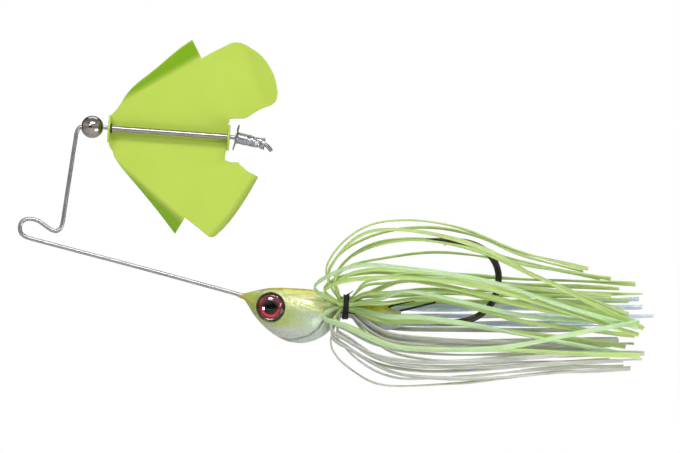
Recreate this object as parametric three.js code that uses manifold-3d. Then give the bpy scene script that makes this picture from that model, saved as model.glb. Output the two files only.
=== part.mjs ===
// A wire-arm topwater lure: a lead head with a tied silicone skirt and a single hook, and above it a
// two-winged blade that spins on the wire's upper arm. Millimetres, +Z up, +X towards the tail.
// The origin is the wire's centreline at the front of the open bend where the line is tied.
import * as THREE from "three";
import { mergeVertices } from "three/addons/utils/BufferGeometryUtils.js";
import Module from "manifold-3d";

const wasm = await Module();
wasm.setup();

// ---------------------------------------------------------------- driving dimensions, mm
const WIRE_RADIUS = 0.43;
const HOOK_RADIUS = 0.7;
const HOOK_EYE_RADIUS = 1.45; // centreline of the eye's ring
const HOOK_EYE_WIRE = 0.55;
const CAST_CLEARANCE = 0.2; // between the lead and what is cast into it

const SHAFT_START = new THREE.Vector3(19.4, 0, 20.9); // shaft axis at the front end of the blade's tube
const SHAFT_SLOPE = THREE.MathUtils.degToRad(4.2); // the shaft falls towards the tail
const BEAD_RADIUS = 2.35;
const BEAD_STATION = -4.2; // along the shaft from the tube's front end
const SLEEVE = { bore: 0.5, radius: 0.62, from: 0, to: 24.25 }; // a tube between the blade's two ears
const WASHER = { bore: 0.5, radius: 1.06, from: -0.33, thickness: 0.28 };
const RIVET = { bore: 0.78, radius: 1.18, length: 6.2, flange: 2.75, flangeThickness: 0.3 };
const RIVET_TILT = THREE.MathUtils.degToRad(13);
const RIVET_STATION = 25.95; // front face of its flange, along the shaft

const SHEET = 0.4; // blade thickness
const PANEL_BACK = 1.7; // the blade's panel lies this far behind the shaft
const EAR_REACH = 3.6; // from the panel to the ear's free edge
const EAR_HOLE = 0.62;

const NECK = { radius: 1.5, z: -16.6, from: 66.6, to: 69.8 };
const BULB_END = { x: 80.05, z: -19.1, radius: 1.7 };
const THREAD = { from: 67.8, to: 69.2, bore: 2.46, radius: 2.64 };
const EYE = { x: 52.8, z: -16.55, radius: 3.05, yaw: THREE.MathUtils.degToRad(11), seat: 3.15 };
const EYE_DISC = 0.35;
const EYE_DOME = 0.95;
const GLUE_GAP = 0.06;

const STRAND = { width: 1.2, thickness: 0.4, pinchThickness: 0.32 };
const STRAND_COUNT = 24;
const LAYERS = [
  { radius: 1.8, pinchWidth: 0.72 }, // against the neck: its forward legs make the large loops
  { radius: 2.2, pinchWidth: 0.88 }, // over it: its forward legs curl back first
];

// ---------------------------------------------------------------- helpers
const at = (x, z, y = 0) => new THREE.Vector3(x, y, z);

// A closed geometry as a manifold-3d solid, and back.
function toSolid(geometry) {
  const bare = geometry.index ? geometry.toNonIndexed() : geometry.clone();
  bare.deleteAttribute("normal");
  bare.deleteAttribute("uv");
  const merged = mergeVertices(bare, 1e-4);
  return new wasm.Manifold(
    new wasm.Mesh({
      numProp: 3,
      vertProperties: merged.attributes.position.array,
      triVerts: new Uint32Array(merged.index.array),
    }),
  );
}

function fromSolid(solid) {
  const mesh = solid.getMesh();
  const geometry = new THREE.BufferGeometry();
  geometry.setAttribute("position", new THREE.BufferAttribute(mesh.vertProperties, 3));
  geometry.setIndex(new THREE.BufferAttribute(mesh.triVerts, 1));
  return geometry;
}

const join = (...parts) => fromSolid(parts.map(toSolid).reduce((sum, next) => sum.add(next)));
const cut = (body, ...tools) =>
  fromSolid(tools.map(toSolid).reduce((left, tool) => left.subtract(tool), toSolid(body)));

// A curve that is stepped by its control points, so that short bends get as many steps as long runs.
class Route extends THREE.CatmullRomCurve3 {
  constructor(points) {
    super(points, false, "centripetal");
  }
  getPointAt(u, target) {
    return this.getPoint(u, target);
  }
  getTangentAt(u, target) {
    return this.getTangent(u, target);
  }
}

function circle(radius, sides) {
  const points = [];
  for (let i = 0; i < sides; i += 1) {
    const angle = (i / sides) * 2 * Math.PI;
    points.push(new THREE.Vector2(radius * Math.cos(angle), radius * Math.sin(angle)));
  }
  return new THREE.Shape(points);
}

function rod(points, radius, sides, stepsPerSpan) {
  const steps = (points.length - 1) * stepsPerSpan;
  return new THREE.ExtrudeGeometry(circle(radius, sides), {
    steps,
    extrudePath: new Route(points),
    bevelEnabled: false,
  });
}

// A ring, tube or disc turned about the X axis: the outline holds [x, radius] pairs, closed on itself
// or with both ends on the axis.
function turned(outline, sides) {
  const profile = outline.map(([x, r]) => new THREE.Vector2(r, x));
  return new THREE.LatheGeometry(profile, sides).rotateZ(-Math.PI / 2);
}

function tube(from, to, bore, radius, sides) {
  return turned([[from, bore], [from, radius], [to, radius], [to, bore], [from, bore]], sides);
}

// A closed skin through rings of points, each ring with the same count, its ends closed by a fan.
function loft(rings) {
  const count = rings[0].length;
  const ends = [rings[0], rings.at(-1)].map((ring) =>
    ring.reduce((sum, p) => sum.add(p), new THREE.Vector3()).divideScalar(count),
  );
  const points = [...rings.flat(), ...ends];
  const index = [];
  for (let i = 0; i < rings.length - 1; i += 1) {
    for (let j = 0; j < count; j += 1) {
      const a = i * count + j;
      const b = i * count + ((j + 1) % count);
      index.push(a, b, a + count, b, b + count, a + count);
    }
  }
  const first = rings.length * count;
  const lastRing = (rings.length - 1) * count;
  for (let j = 0; j < count; j += 1) {
    const next = (j + 1) % count;
    index.push(first, next, j);
    index.push(first + 1, lastRing + j, lastRing + next);
  }
  const geometry = new THREE.BufferGeometry().setFromPoints(points);
  geometry.setIndex(index);
  return geometry;
}

// ---------------------------------------------------------------- the shaft's own frame
const shaftFrame = new THREE.Matrix4()
  .makeTranslation(SHAFT_START)
  .multiply(new THREE.Matrix4().makeRotationY(SHAFT_SLOPE));
const onShaft = (s, h = 0, y = 0) => new THREE.Vector3(s, y, h).applyMatrix4(shaftFrame);
const rivetFrame = new THREE.Matrix4()
  .makeTranslation(onShaft(RIVET_STATION))
  .multiply(new THREE.Matrix4().makeRotationY(RIVET_TILT));
const inRivet = (s) => new THREE.Vector3(s, 0, 0).applyMatrix4(rivetFrame);

// ---------------------------------------------------------------- wire and hook
const HOOK_EYE = at(57.6, -16.9);

function wireRoute() {
  return [
    at(HOOK_EYE.x, HOOK_EYE.z, -2.3), // hooked end, through the hook's eye
    at(HOOK_EYE.x, HOOK_EYE.z, 0.6),
    at(56.6, -16.75, 1.7),
    at(54.6, -16.3, 1.5),
    at(51.5, -15.5, 0.35),
    at(47.2, -14.3), // out at the nose
    at(25.0, -8.25),
    at(4.2, -2.75), // lower arm
    at(2.2, -2.2),
    at(1.0, -1.75),
    at(0.15, -0.85),
    at(0.15, 0.8), // line tie
    at(1.0, 1.7),
    at(2.2, 1.9),
    at(3.8, 1.5),
    at(5.5, 0.35),
    at(6.7, -0.45),
    at(7.7, -0.65),
    at(8.6, -0.05),
    at(9.05, 1.5),
    at(9.35, 3.4), // upper arm
    at(10.6, 11.6),
    at(11.7, 18.6),
    at(12.0, 20.2),
    at(12.6, 21.1),
    onShaft(-5.4),
    onShaft(4),
    onShaft(14),
    onShaft(24),
    inRivet(0.6),
    inRivet(4.6),
    inRivet(6.3),
    at(52.2, 16.95), // tail, bent down behind the rivet
    at(52.85, 16.1),
  ];
}

const HOOK_ROUTE = [
  at(59.2, -16.85),
  at(62.5, -16.65),
  at(66.0, NECK.z),
  at(69.8, -16.75),
  at(74.5, -17.9),
  at(79.8, -18.8),
  at(85.0, -19.35),
  at(90.0, -19.85),
  at(93.2, -19.6),
  at(96.4, -18.4),
  at(98.9, -16.1),
  at(100.2, -12.9),
  at(100.5, -9.6),
  at(99.6, -6.9),
  at(97.6, -4.7),
  at(94.9, -3.35),
  at(91.6, -2.75),
];
const HOOK_TIP = at(85.2, -2.2);
const BARB_ROOT = at(90.6, -3.0);
const BARB_TIP = at(88.7, -4.0);

// A cone from one point to another.
function spike(from, to, radius, sides) {
  const length = from.distanceTo(to);
  const direction = to.clone().sub(from).normalize();
  const turn = new THREE.Quaternion().setFromUnitVectors(new THREE.Vector3(0, 1, 0), direction);
  const middle = from.clone().lerp(to, 0.5);
  return new THREE.ConeGeometry(radius, length, sides)
    .applyQuaternion(turn)
    .translate(middle.x, middle.y, middle.z);
}

function hookShape(grow) {
  const shank = rod(HOOK_ROUTE, HOOK_RADIUS + grow, 8, 2);
  const ring = new THREE.TorusGeometry(HOOK_EYE_RADIUS, HOOK_EYE_WIRE + grow, 8, 14)
    .rotateX(Math.PI / 2)
    .translate(HOOK_EYE.x, HOOK_EYE.y, HOOK_EYE.z);
  const end = HOOK_ROUTE.at(-1);
  const overlap = end.clone().sub(HOOK_TIP).multiplyScalar(0.05).add(end);
  const point = spike(overlap, HOOK_TIP, HOOK_RADIUS, 8);
  const barb = spike(BARB_ROOT, BARB_TIP, 0.4, 6);
  return grow ? join(shank, ring) : join(shank, ring, point, barb);
}

// ---------------------------------------------------------------- head casting
// Stations from the nose to the keeper's flat rear face: x, top, bottom, half width.
const HEAD_STATIONS = [
  [47.1, -13.75, -14.95, 0.62],
  [47.7, -13.6, -15.9, 1.1],
  [49.2, -13.25, -18.3, 2.15],
  [51.0, -12.85, -20.4, 3.05],
  [53.0, -12.6, -22.1, 3.75],
  [55.1, -12.65, -23.35, 4.2],
  [57.0, -12.75, -24.0, 4.45],
  [59.0, -12.85, -24.2, 4.5],
  [61.0, -12.95, -23.9, 4.4],
  [63.2, -13.35, -23.0, 3.75],
  [64.9, -14.0, -21.7, 2.7],
  [65.7, -14.6, -20.0, 2.1],
  [66.25, -15.0, -18.5, 1.65],
  [NECK.from, NECK.z + NECK.radius, NECK.z - NECK.radius, NECK.radius],
  [NECK.to, NECK.z + NECK.radius, NECK.z - NECK.radius, NECK.radius],
  [71.2, -15.0, -19.0, 2.0],
  [73.2, -15.25, -20.4, 2.7],
  [75.4, -15.65, -21.5, 2.95],
  [77.2, -16.4, -21.5, 2.6],
  [78.8, -17.2, -21.15, 2.1],
  [BULB_END.x, BULB_END.z + BULB_END.radius, BULB_END.z - BULB_END.radius, BULB_END.radius],
];

function headBody() {
  const sides = 20;
  const rings = HEAD_STATIONS.map(([x, top, bottom, half]) => {
    const ring = [];
    for (let i = 0; i < sides; i += 1) {
      const angle = (i / sides) * 2 * Math.PI;
      ring.push(at(x, (top + bottom) / 2 + ((top - bottom) / 2) * Math.cos(angle), -half * Math.sin(angle)));
    }
    return ring;
  });
  return loft(rings);
}

// The eye's own frame: +Z out of the head, on the side that `side` names (-1 is the near side).
function eyeFrame(side) {
  const normal = new THREE.Vector3(-Math.sin(EYE.yaw), side * Math.cos(EYE.yaw), 0);
  const turn = new THREE.Quaternion().setFromUnitVectors(new THREE.Vector3(0, 0, 1), normal);
  const seat = new THREE.Vector3(EYE.x, side * EYE.seat, EYE.z);
  return new THREE.Matrix4().compose(seat, turn, new THREE.Vector3(1, 1, 1));
}

// A round eye piece between two heights over the seat, turned about the eye's own axis.
function eyePiece(side, outline, sides) {
  const profile = outline.map(([r, h]) => new THREE.Vector2(r, h));
  return new THREE.LatheGeometry(profile, sides).rotateX(Math.PI / 2).applyMatrix4(eyeFrame(side));
}

function eyeDisc(side, grow = 0, height = EYE_DISC) {
  const radius = EYE.radius + grow;
  return eyePiece(side, [[0, -grow], [radius, -grow], [radius, height], [0, height]], 24);
}

function eyeDome(side) {
  const base = EYE_DISC + GLUE_GAP;
  const outline = [[0, base], [EYE.radius, base]];
  const rings = 5;
  for (let i = 1; i <= rings; i += 1) {
    const angle = (i / rings) * (Math.PI / 2);
    outline.push([EYE.radius * Math.cos(angle), base + 0.12 + EYE_DOME * Math.sin(angle)]);
  }
  outline.at(-1)[0] = 0;
  return eyePiece(side, outline, 24);
}

const KEEPER_WIRES = {
  keeper_wire_front: [at(76.4, -17.3, -0.5), at(78.2, -16.3, -0.9), at(83.0, -15.2, -1.3)],
  keeper_wire_rear: [at(77.0, -17.9, 1.3), at(80.4, -17.3, 1.2), at(87.4, -15.6, 1.5)],
};
const KEEPER_RADIUS = 0.22;

function headCasting() {
  const wireBore = rod(wireRoute().slice(0, 7), WIRE_RADIUS + CAST_CLEARANCE, 8, 2);
  const sockets = [-1, 1].map((side) => eyeDisc(side, 0.12, 4));
  const keeperBores = Object.values(KEEPER_WIRES).map((route) => {
    const blindEnd = route[0].clone().lerp(route[1], -0.15);
    return rod([blindEnd, ...route.slice(1)], KEEPER_RADIUS + CAST_CLEARANCE, 6, 2);
  });
  return cut(headBody(), wireBore, hookShape(CAST_CLEARANCE), ...sockets, ...keeperBores);
}

// ---------------------------------------------------------------- blade
// The blade is one bent sheet. Each corner is [s, h, y]: along the shaft, up, and away from the shaft's
// near side, in the shaft's frame. Facets share the corners on their fold.
const FLAP_SLOPE = 1.15; // depth gained per millimetre away from a flap's fold
const LOBE_SLOPE = 0.32;
const CURL_DEPTHS = [0.8, 4.2, 4.6, 1.0]; // how far the lower wing's trailing lobe is turned away
const FRONT_EAR = { station: -0.6, low: -3.1, high: 2.8 };
const REAR_EAR = { station: 24.55, low: -2.9, high: 2.6 };

function foldDepth([s, h], [s0, h0], [s1, h1], slope) {
  const length = Math.hypot(s1 - s0, h1 - h0);
  return (Math.abs((s1 - s0) * (h - h0) - (h1 - h0) * (s - s0)) / length) * slope;
}

function bladeSheet() {
  const upperFold = [[1.3, 5.2], [17.6, 16.1]];
  const lowerFold = [[0.8, -5.8], [16.7, -17.6]];
  const lobeFold = [[24.4, 20.0], [31.0, 6.4]];
  const flat = (list) => list.map(([s, h]) => [s, h, PANEL_BACK]);
  const bent = (list, fold, slope) =>
    list.map((corner) => [...corner, PANEL_BACK + foldDepth(corner, ...fold, slope)]);
  const frontEarFold = [[-0.75, FRONT_EAR.high], [-0.75, FRONT_EAR.low]];
  const rearEarFold = [[24.7, REAR_EAR.low], [24.7, REAR_EAR.high]];
  const curl = [[31.1, -7.8], [29.1, -11.5], [25.3, -18.0], [22.9, -21.0]];
  const panel = flat([
    ...frontEarFold,
    [-0.2, -4.2],
    ...lowerFold,
    [21.8, -21.2],
    ...curl.toReversed(),
    [29.0, -6.9],
    [26.8, -5.15],
    [24.1, -4.9],
    [24.2, -3.4],
    ...rearEarFold,
    [24.5, 3.85],
    [27.8, 4.25],
    [29.0, 5.1],
    ...lobeFold.toReversed(),
    [23.6, 19.7],
    upperFold[1],
    upperFold[0],
    [0.3, 3.75],
  ]);
  const upperFlap = [
    ...flat(upperFold),
    ...bent([[15.5, 19.65], [10.8, 15.4], [8.1, 13.0], [5.5, 10.65], [3.9, 9.1], [2.35, 7.15]],
      upperFold, -FLAP_SLOPE),
  ];
  const lowerFlap = [
    ...flat(lowerFold.toReversed()),
    ...bent([[2.0, -7.4], [7.2, -12.8], [14.65, -21.05]], lowerFold, FLAP_SLOPE),
  ];
  const lobe = [
    ...flat(lobeFold),
    ...bent([[33.1, 7.4], [33.9, 8.4], [34.05, 9.9], [33.6, 12], [31.6, 15.95], [28.6, 18.6], [25.7, 19.9]],
      lobeFold, -LOBE_SLOPE),
  ];
  const curled = curl.map(([s, h], i) => [s + 0.25, h - 0.15, PANEL_BACK + CURL_DEPTHS[i]]);
  const lowerLobe = [...flat(curl), ...curled.toReversed()];
  return [panel, upperFlap, lowerFlap, lobe, lowerLobe];
}

// A closed sheet of even thickness about facets that share corners.
function thickSheet(facets, thickness) {
  const corners = [];
  const keyOf = new Map();
  const indexOf = (corner) => {
    const key = corner.map((v) => v.toFixed(3)).join();
    if (!keyOf.has(key)) {
      keyOf.set(key, corners.length);
      corners.push(new THREE.Vector3(corner[0], corner[2], corner[1]));
    }
    return keyOf.get(key);
  };
  const triangles = [];
  for (const facet of facets) {
    const ids = facet.map(indexOf);
    const outline = facet.map(([s, h]) => new THREE.Vector2(s, h));
    for (const [a, b, c] of THREE.ShapeUtils.triangulateShape(outline, [])) {
      triangles.push([ids[a], ids[b], ids[c]]);
    }
  }
  const front = triangles.map(([a, b, c]) => {
    const flatNormal = corners[b].clone().sub(corners[a]).cross(corners[c].clone().sub(corners[a]));
    return flatNormal.y < 0 ? [a, b, c] : [a, c, b];
  });
  const normals = corners.map(() => new THREE.Vector3());
  for (const [a, b, c] of front) {
    const face = corners[b].clone().sub(corners[a]).cross(corners[c].clone().sub(corners[a])).normalize();
    for (const id of [a, b, c]) normals[id].add(face);
  }
  for (const normal of normals) normal.normalize();
  const shift = (id, sign) => corners[id].clone().addScaledVector(normals[id], (sign * thickness) / 2);
  const points = [...corners.map((_, id) => shift(id, 1)), ...corners.map((_, id) => shift(id, -1))];
  const count = corners.length;
  const index = [];
  const edges = new Map();
  for (const [a, b, c] of front) {
    index.push(a, b, c, a + count, c + count, b + count);
    for (const [p, q] of [[a, b], [b, c], [c, a]]) edges.set(`${p},${q}`, [p, q]);
  }
  for (const [p, q] of edges.values()) {
    if (!edges.has(`${q},${p}`)) index.push(q, p, p + count, q, p + count, q + count);
  }
  const geometry = new THREE.BufferGeometry().setFromPoints(points);
  geometry.setIndex(index);
  return geometry;
}

// A bearing ear: a round-ended tab square to the shaft, with the sleeve's hole through it.
function ear({ station, low, high }) {
  const back = PANEL_BACK - SHEET / 2 + 0.1;
  const front = PANEL_BACK - EAR_REACH - (high - low) * 0.25;
  const outline = new THREE.Shape();
  outline.moveTo(back, low);
  outline.lineTo(PANEL_BACK - EAR_REACH, low + 0.5);
  outline.quadraticCurveTo(front, (low + high) / 2, PANEL_BACK - EAR_REACH, high - 0.5);
  outline.lineTo(back, high);
  outline.closePath();
  const tab = new THREE.ExtrudeGeometry(outline, { depth: SHEET, bevelEnabled: false, curveSegments: 8 });
  const turn = new THREE.Matrix4().makeBasis(
    new THREE.Vector3(0, 1, 0),
    new THREE.Vector3(0, 0, 1),
    new THREE.Vector3(1, 0, 0),
  );
  return tab.applyMatrix4(turn).translate(station - SHEET / 2, 0, 0);
}

function blade() {
  const sheet = thickSheet(bladeSheet(), SHEET);
  const [before, behind] = [FRONT_EAR.station - 2, REAR_EAR.station + 2];
  const hole = turned([[before, 0], [before, EAR_HOLE], [behind, EAR_HOLE], [behind, 0]], 12);
  return cut(join(sheet, ear(FRONT_EAR), ear(REAR_EAR)), hole).applyMatrix4(shaftFrame);
}

// ---------------------------------------------------------------- skirt
// Each row is one strand, in order round the neck from straight down, up the far side, over the top and
// down the near side. Angles are in degrees round the skirt's axis: 0 is up, 90 the near side.
// Its forward leg goes ahead to `front`, curls out and back over `crest` and ends at `tip`. Its rear leg
// runs back over `crest` to `tip`. A place is [x, distance from the axis], and `turn` is the angle there.
const SKIRT = [
  // slot, colour, forward: angle, front, crest, tip, tip angle; rear: angle, crest, tip, tip angle
  [-11, "pearl", -162, [66.3, 5.4], [84, 10.8], [124, 9.0], -160, -166, [90, 7.2], [121, 6.4], -166],
  [-10, "pearl", -147, [65.2, 7.0], [84, 13.6], [127, 10.6], -146, -150, [88, 5.6], [124, 5.2], -150],
  [-9, "pearl", -131, [66.2, 5.2], [83, 10.6], [123, 8.6], -132, -134, [86, 7.4], [126, 6.2], -136],
  [-8, "pearl", -115, [64.3, 6.2], [84, 13.2], [126, 9.6], -116, -118, [90, 5.6], [122, 4.8], -118],
  [-7, "flake", -99, [65.8, 5.0], [83, 10.2], [128, 7.4], -98, -102, [86, 7.0], [129, 5.2], -98],
  [-6, "flake", -83, [63.8, 6.0], [83, 12.8], [130.7, 8.8], -74, -86, [90, 5.2], [133.4, 4.6], -80],
  [-5, "flake", -79, [65.8, 5.0], [82, 10.0], [130.4, 8.8], -60, -70, [86, 6.8], [131, 5.8], -62],
  [-4, "lime", -50, [63.6, 6.2], [82, 14.0], [129.6, 9.6], -38, -54, [90, 5.6], [128, 5.0], -42],
  [-3, "lime", -34, [65.7, 6.2], [82, 19.8], [122, 9.6], -24, -44, [84, 7.8], [131, 6.8], -36],
  [-2, "lime", -23, [64.4, 7.4], [85, 20.6], [118.4, 10.4], -14, -36, [90, 6.2], [128, 4.6], -20],
  [-1, "lime", -15, [66.0, 5.6], [87, 14.2], [124.2, 8.8], -8, -25, [86, 9.0], [126, 6.8], -20],
  [0, "lime", 3, [64.1, 7.6], [82, 20.4], [119.3, 10.6], 6, 22, [86, 8.6], [124, 6.4], 36],
  [1, "lime", 12, [65.9, 5.8], [83, 16.6], [127, 8.4], 80, 25, [83, 10.7], [127.6, 5.8], 76],
  [2, "lime", 22, [64.6, 7.0], [80, 19.8], [130.5, 10.8], 98, 36, [81, 9.6], [130.4, 6.8], 102],
  [3, "lime", 40, [65.9, 5.4], [80, 12.8], [129, 8.8], 92, 44, [88, 8.2], [128, 4.8], 96],
  [4, "mint", 52, [61.6, 7.0], [81, 16.8], [129, 12.4], 97, 52, [80, 8.9], [129.4, 3.2], 110],
  [5, "lime", 57, [63.6, 7.0], [84, 15.2], [129.4, 11.6], 104, 62, [85, 7.2], [129, 4.2], 138],
  [6, "mint", 114, [63.4, 6.8], [92, 15.8], [129.4, 13.2], 90, 89, [84, 7.6], [129.6, 10.6], 136],
  [7, "lime", 125, [65.8, 5.4], [91, 11.2], [129.8, 11.8], 128, 110, [88, 5.2], [127, 7.0], 142],
  [8, "pearl", 138, [65.0, 6.8], [84, 12.4], [125, 9.4], 137, 130, [88, 7.0], [124, 6.0], 156],
  [9, "pearl", 147, [66.2, 5.4], [88, 12.4], [130.4, 9.8], 147, 144, [88, 7.4], [131, 7.8], 154],
  [10, "pearl", 154, [65.2, 7.0], [91, 14.0], [128, 10.8], 158, 156, [86, 9.6], [126, 7.6], 162],
  [11, "pearl", 168, [66.3, 5.8], [79, 13.0], [126.7, 9.6], 171, 172, [88, 7.8], [122, 6.8], 174],
  [12, "pearl", 184, [65.1, 8.0], [75, 14.6], [126.9, 10.4], 184, 188, [88, 5.8], [129, 5.0], 188],
];
const SLOT_ANGLE = 360 / STRAND_COUNT;
const PINCH_HALF = 1.1; // the strands are squeezed this far each side of the tie's middle
const TIE_X = (THREAD.from + THREAD.to) / 2;

// Height of the skirt's axis: level through the tie, falling to the keeper's middle, then almost level.
function axisHeight(x) {
  const fall = THREE.MathUtils.smootherstep(x, 68, 78.5);
  const run = Math.max(0, x - 78) / 48;
  return NECK.z - 2.1 * fall - 0.6 * run;
}

function onSkirt([x, r], degrees) {
  const angle = THREE.MathUtils.degToRad(degrees);
  return at(x, axisHeight(x) + r * Math.cos(angle), -r * Math.sin(angle));
}

function strandRoute(row) {
  const [slot, , forwardAngle, front, crest, tip, tipAngle] = row;
  const [rearAngle, rearCrest, rearTip, rearTipAngle] = row.slice(7);
  const start = slot * SLOT_ANGLE;
  const r0 = LAYERS[Math.abs(slot) % 2].radius;
  const blend = (a, b, t) => a + (b - a) * t;
  const between = (p, q, tx, tr) => [blend(p[0], q[0], tx), blend(p[1], q[1], tr)];
  const neckFront = [TIE_X - PINCH_HALF - 0.1, r0];
  const rising = between(neckFront, front, slot % 2 ? 0.3 : 0.54, slot % 2 ? 0.42 : 0.36);
  const frontAngle = blend(start, forwardAngle, 0.75);
  const overBulb = [76.5, Math.max(3.4, blend(r0, rearCrest[1], 0.72)) + (Math.abs(slot) % 2) * 0.3];
  const rearTail = between(rearCrest, rearTip, 0.5, 0.5);
  const easedOut = blend(r0, overBulb[1], 0.66);
  const beforeBulb = slot % 2 ? Math.max(4.1, easedOut) : Math.min(3.5, easedOut);
  return [
    onSkirt(rearTip, rearTipAngle),
    onSkirt(rearTail, blend(rearAngle, rearTipAngle, 0.5)),
    onSkirt(rearCrest, rearAngle),
    onSkirt(overBulb, blend(start, rearAngle, 0.6)),
    onSkirt([72.4, beforeBulb], blend(start, rearAngle, 0.25)),
    onSkirt([TIE_X + PINCH_HALF + 0.1, r0], start),
    onSkirt([TIE_X, r0], start),
    onSkirt(neckFront, start),
    onSkirt(rising, blend(start, forwardAngle, 0.4)),
    onSkirt(front, frontAngle),
    onSkirt(between(front, crest, 0.15, 0.38), blend(frontAngle, forwardAngle, 0.5)),
    onSkirt(between(front, crest, 0.5, 0.82), forwardAngle),
    onSkirt(crest, forwardAngle),
    onSkirt(between(crest, tip, 0.3, 0.17), blend(forwardAngle, tipAngle, 0.14)),
    onSkirt(between(crest, tip, 0.6, 0.62), blend(forwardAngle, tipAngle, 0.46)),
    onSkirt(tip, tipAngle),
  ];
}

// A flat strip along its route, its width square to the skirt's axis, squeezed under the tie.
function strand(row) {
  const layer = LAYERS[Math.abs(row[0]) % 2];
  const points = strandRoute(row);
  const route = new Route(points);
  const steps = (points.length - 1) * 2;
  const rings = [];
  for (let i = 0; i <= steps; i += 1) {
    const p = route.getPoint(i / steps);
    const along = route.getTangent(i / steps);
    const outward = new THREE.Vector3(0, p.y, p.z - axisHeight(p.x));
    const freed = THREE.MathUtils.smoothstep(Math.abs(p.x - TIE_X), PINCH_HALF + 0.2, PINCH_HALF + 3);
    const away = Math.max(freed, THREE.MathUtils.smoothstep(outward.length(), 2.6, 6));
    const across = new THREE.Vector3(1, 0, 0).cross(outward);
    across.addScaledVector(along, -across.dot(along)).normalize();
    const up = along.clone().cross(across);
    const width = THREE.MathUtils.lerp(layer.pinchWidth, STRAND.width, away) / 2;
    const thick = THREE.MathUtils.lerp(STRAND.pinchThickness, STRAND.thickness, away) / 2;
    rings.push(
      [[-1, -1], [1, -1], [1, 1], [-1, 1]].map(([a, b]) =>
        p.clone().addScaledVector(across, a * width).addScaledVector(up, b * thick),
      ),
    );
  }
  return loft(rings);
}

function tieThread() {
  const ring = tube(THREAD.from, THREAD.to, THREAD.bore, THREAD.radius, 24).translate(0, 0, NECK.z);
  const top = rod([at(68.7, -14.05, -0.2), at(69.3, -13.75, -0.4), at(69.9, -13.3, -0.9)], 0.12, 6, 2);
  const low = rod([at(68.9, -17.6, -2.3), at(69.5, -17.9, -2.75), at(70.3, -18.0, -3.2)], 0.12, 6, 2);
  return join(ring, top, low);
}

// ---------------------------------------------------------------- materials and assembly
const paint = (color, roughness, metalness = 0) =>
  new THREE.MeshStandardMaterial({ color, roughness, metalness });
const STRAND_COLOURS = { lime: 0xa5cd69, mint: 0xb4dca5, pearl: 0xb9bcb2, flake: 0xbecde1 };
const COLOURS = {
  steel: [0x9a9a98, 0.3, 1],
  chrome: [0xc8c8c8, 0.08, 1],
  black_nickel: [0x232124, 0.25, 1],
  dark_steel: [0x33312f, 0.5, 1],
  aluminium: [0xc4c6c8, 0.35, 1],
  blade_paint: [0xbed95c, 0.4],
  head_paint: [0xc3cf8a, 0.3],
  eye_foil: [0x8a1a1c, 0.35],
  clear: [0xf4f4f4, 0.05],
  thread: [0x141414, 0.7],
};

const lure = new THREE.Group();

function add(name, geometry, material) {
  const mesh = new THREE.Mesh(geometry, material);
  mesh.name = name;
  lure.add(mesh);
}

const finish = (name) => paint(...COLOURS[name]);

add("wire_form", rod(wireRoute(), WIRE_RADIUS, 8, 2), finish("steel"));
add("bead", turned(beadOutline(), 20).applyMatrix4(shaftFrame), finish("chrome"));
add("blade", blade(), finish("blade_paint"));
add(
  "blade_sleeve",
  tube(SLEEVE.from, SLEEVE.to, SLEEVE.bore, SLEEVE.radius, 12).applyMatrix4(shaftFrame),
  finish("steel"),
);
add(
  "thrust_washer",
  tube(WASHER.from, WASHER.from + WASHER.thickness, WASHER.bore, WASHER.radius, 16).applyMatrix4(shaftFrame),
  finish("dark_steel"),
);
add("rivet", turned(rivetOutline(), 16).applyMatrix4(rivetFrame), finish("aluminium"));
add("head_casting", headCasting(), finish("head_paint"));
add("hook", hookShape(0), finish("black_nickel"));
for (const [name, route] of Object.entries(KEEPER_WIRES)) {
  add(name, rod(route, KEEPER_RADIUS, 6, 2), finish("dark_steel"));
}
for (const [name, side] of [["right", 1], ["left", -1]]) {
  add(`eye_disc_${name}`, eyeDisc(side), finish("eye_foil"));
  add(`eye_dome_${name}`, eyeDome(side), finish("clear"));
}
add("tie_thread", tieThread(), finish("thread"));
SKIRT.forEach((row, i) => {
  add(`skirt_strand_${String(i + 1).padStart(2, "0")}`, strand(row), paint(STRAND_COLOURS[row[1]], 0.45));
});

// A drilled ball: an arc from one end of the bore to the other, closed by the bore itself.
function beadOutline() {
  const bore = WIRE_RADIUS + 0.17;
  const start = Math.asin(bore / BEAD_RADIUS);
  const outline = [];
  const steps = 12;
  for (let i = 0; i <= steps; i += 1) {
    const angle = start + (i / steps) * (Math.PI - 2 * start);
    outline.push([BEAD_STATION - BEAD_RADIUS * Math.cos(angle), BEAD_RADIUS * Math.sin(angle)]);
  }
  return [...outline, outline[0]];
}

function rivetOutline() {
  const { bore, radius, length, flange, flangeThickness } = RIVET;
  return [
    [0, bore],
    [0, flange],
    [flangeThickness, flange],
    [flangeThickness, radius + 0.25],
    [flangeThickness + 0.25, radius],
    [length, radius],
    [length, bore],
    [0, bore],
  ];
}

export default lure;
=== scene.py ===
"""Looks for a wire-arm topwater lure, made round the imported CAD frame.

Places and sizes are millimetres in the frame's own axes: +X to the skirt's tail, +Z up to the blade and
-Y towards the viewer. They turn into metres where a mesh is made. "near" is the -Y side.
"""

import random
from math import asin, atan2, ceil, copysign, cos, degrees, exp, hypot, pi, radians, sin, sqrt

import bmesh
import bpy
import numpy as np
from mathutils import Matrix, Vector, noise
from mathutils.geometry import delaunay_2d_cdt

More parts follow.
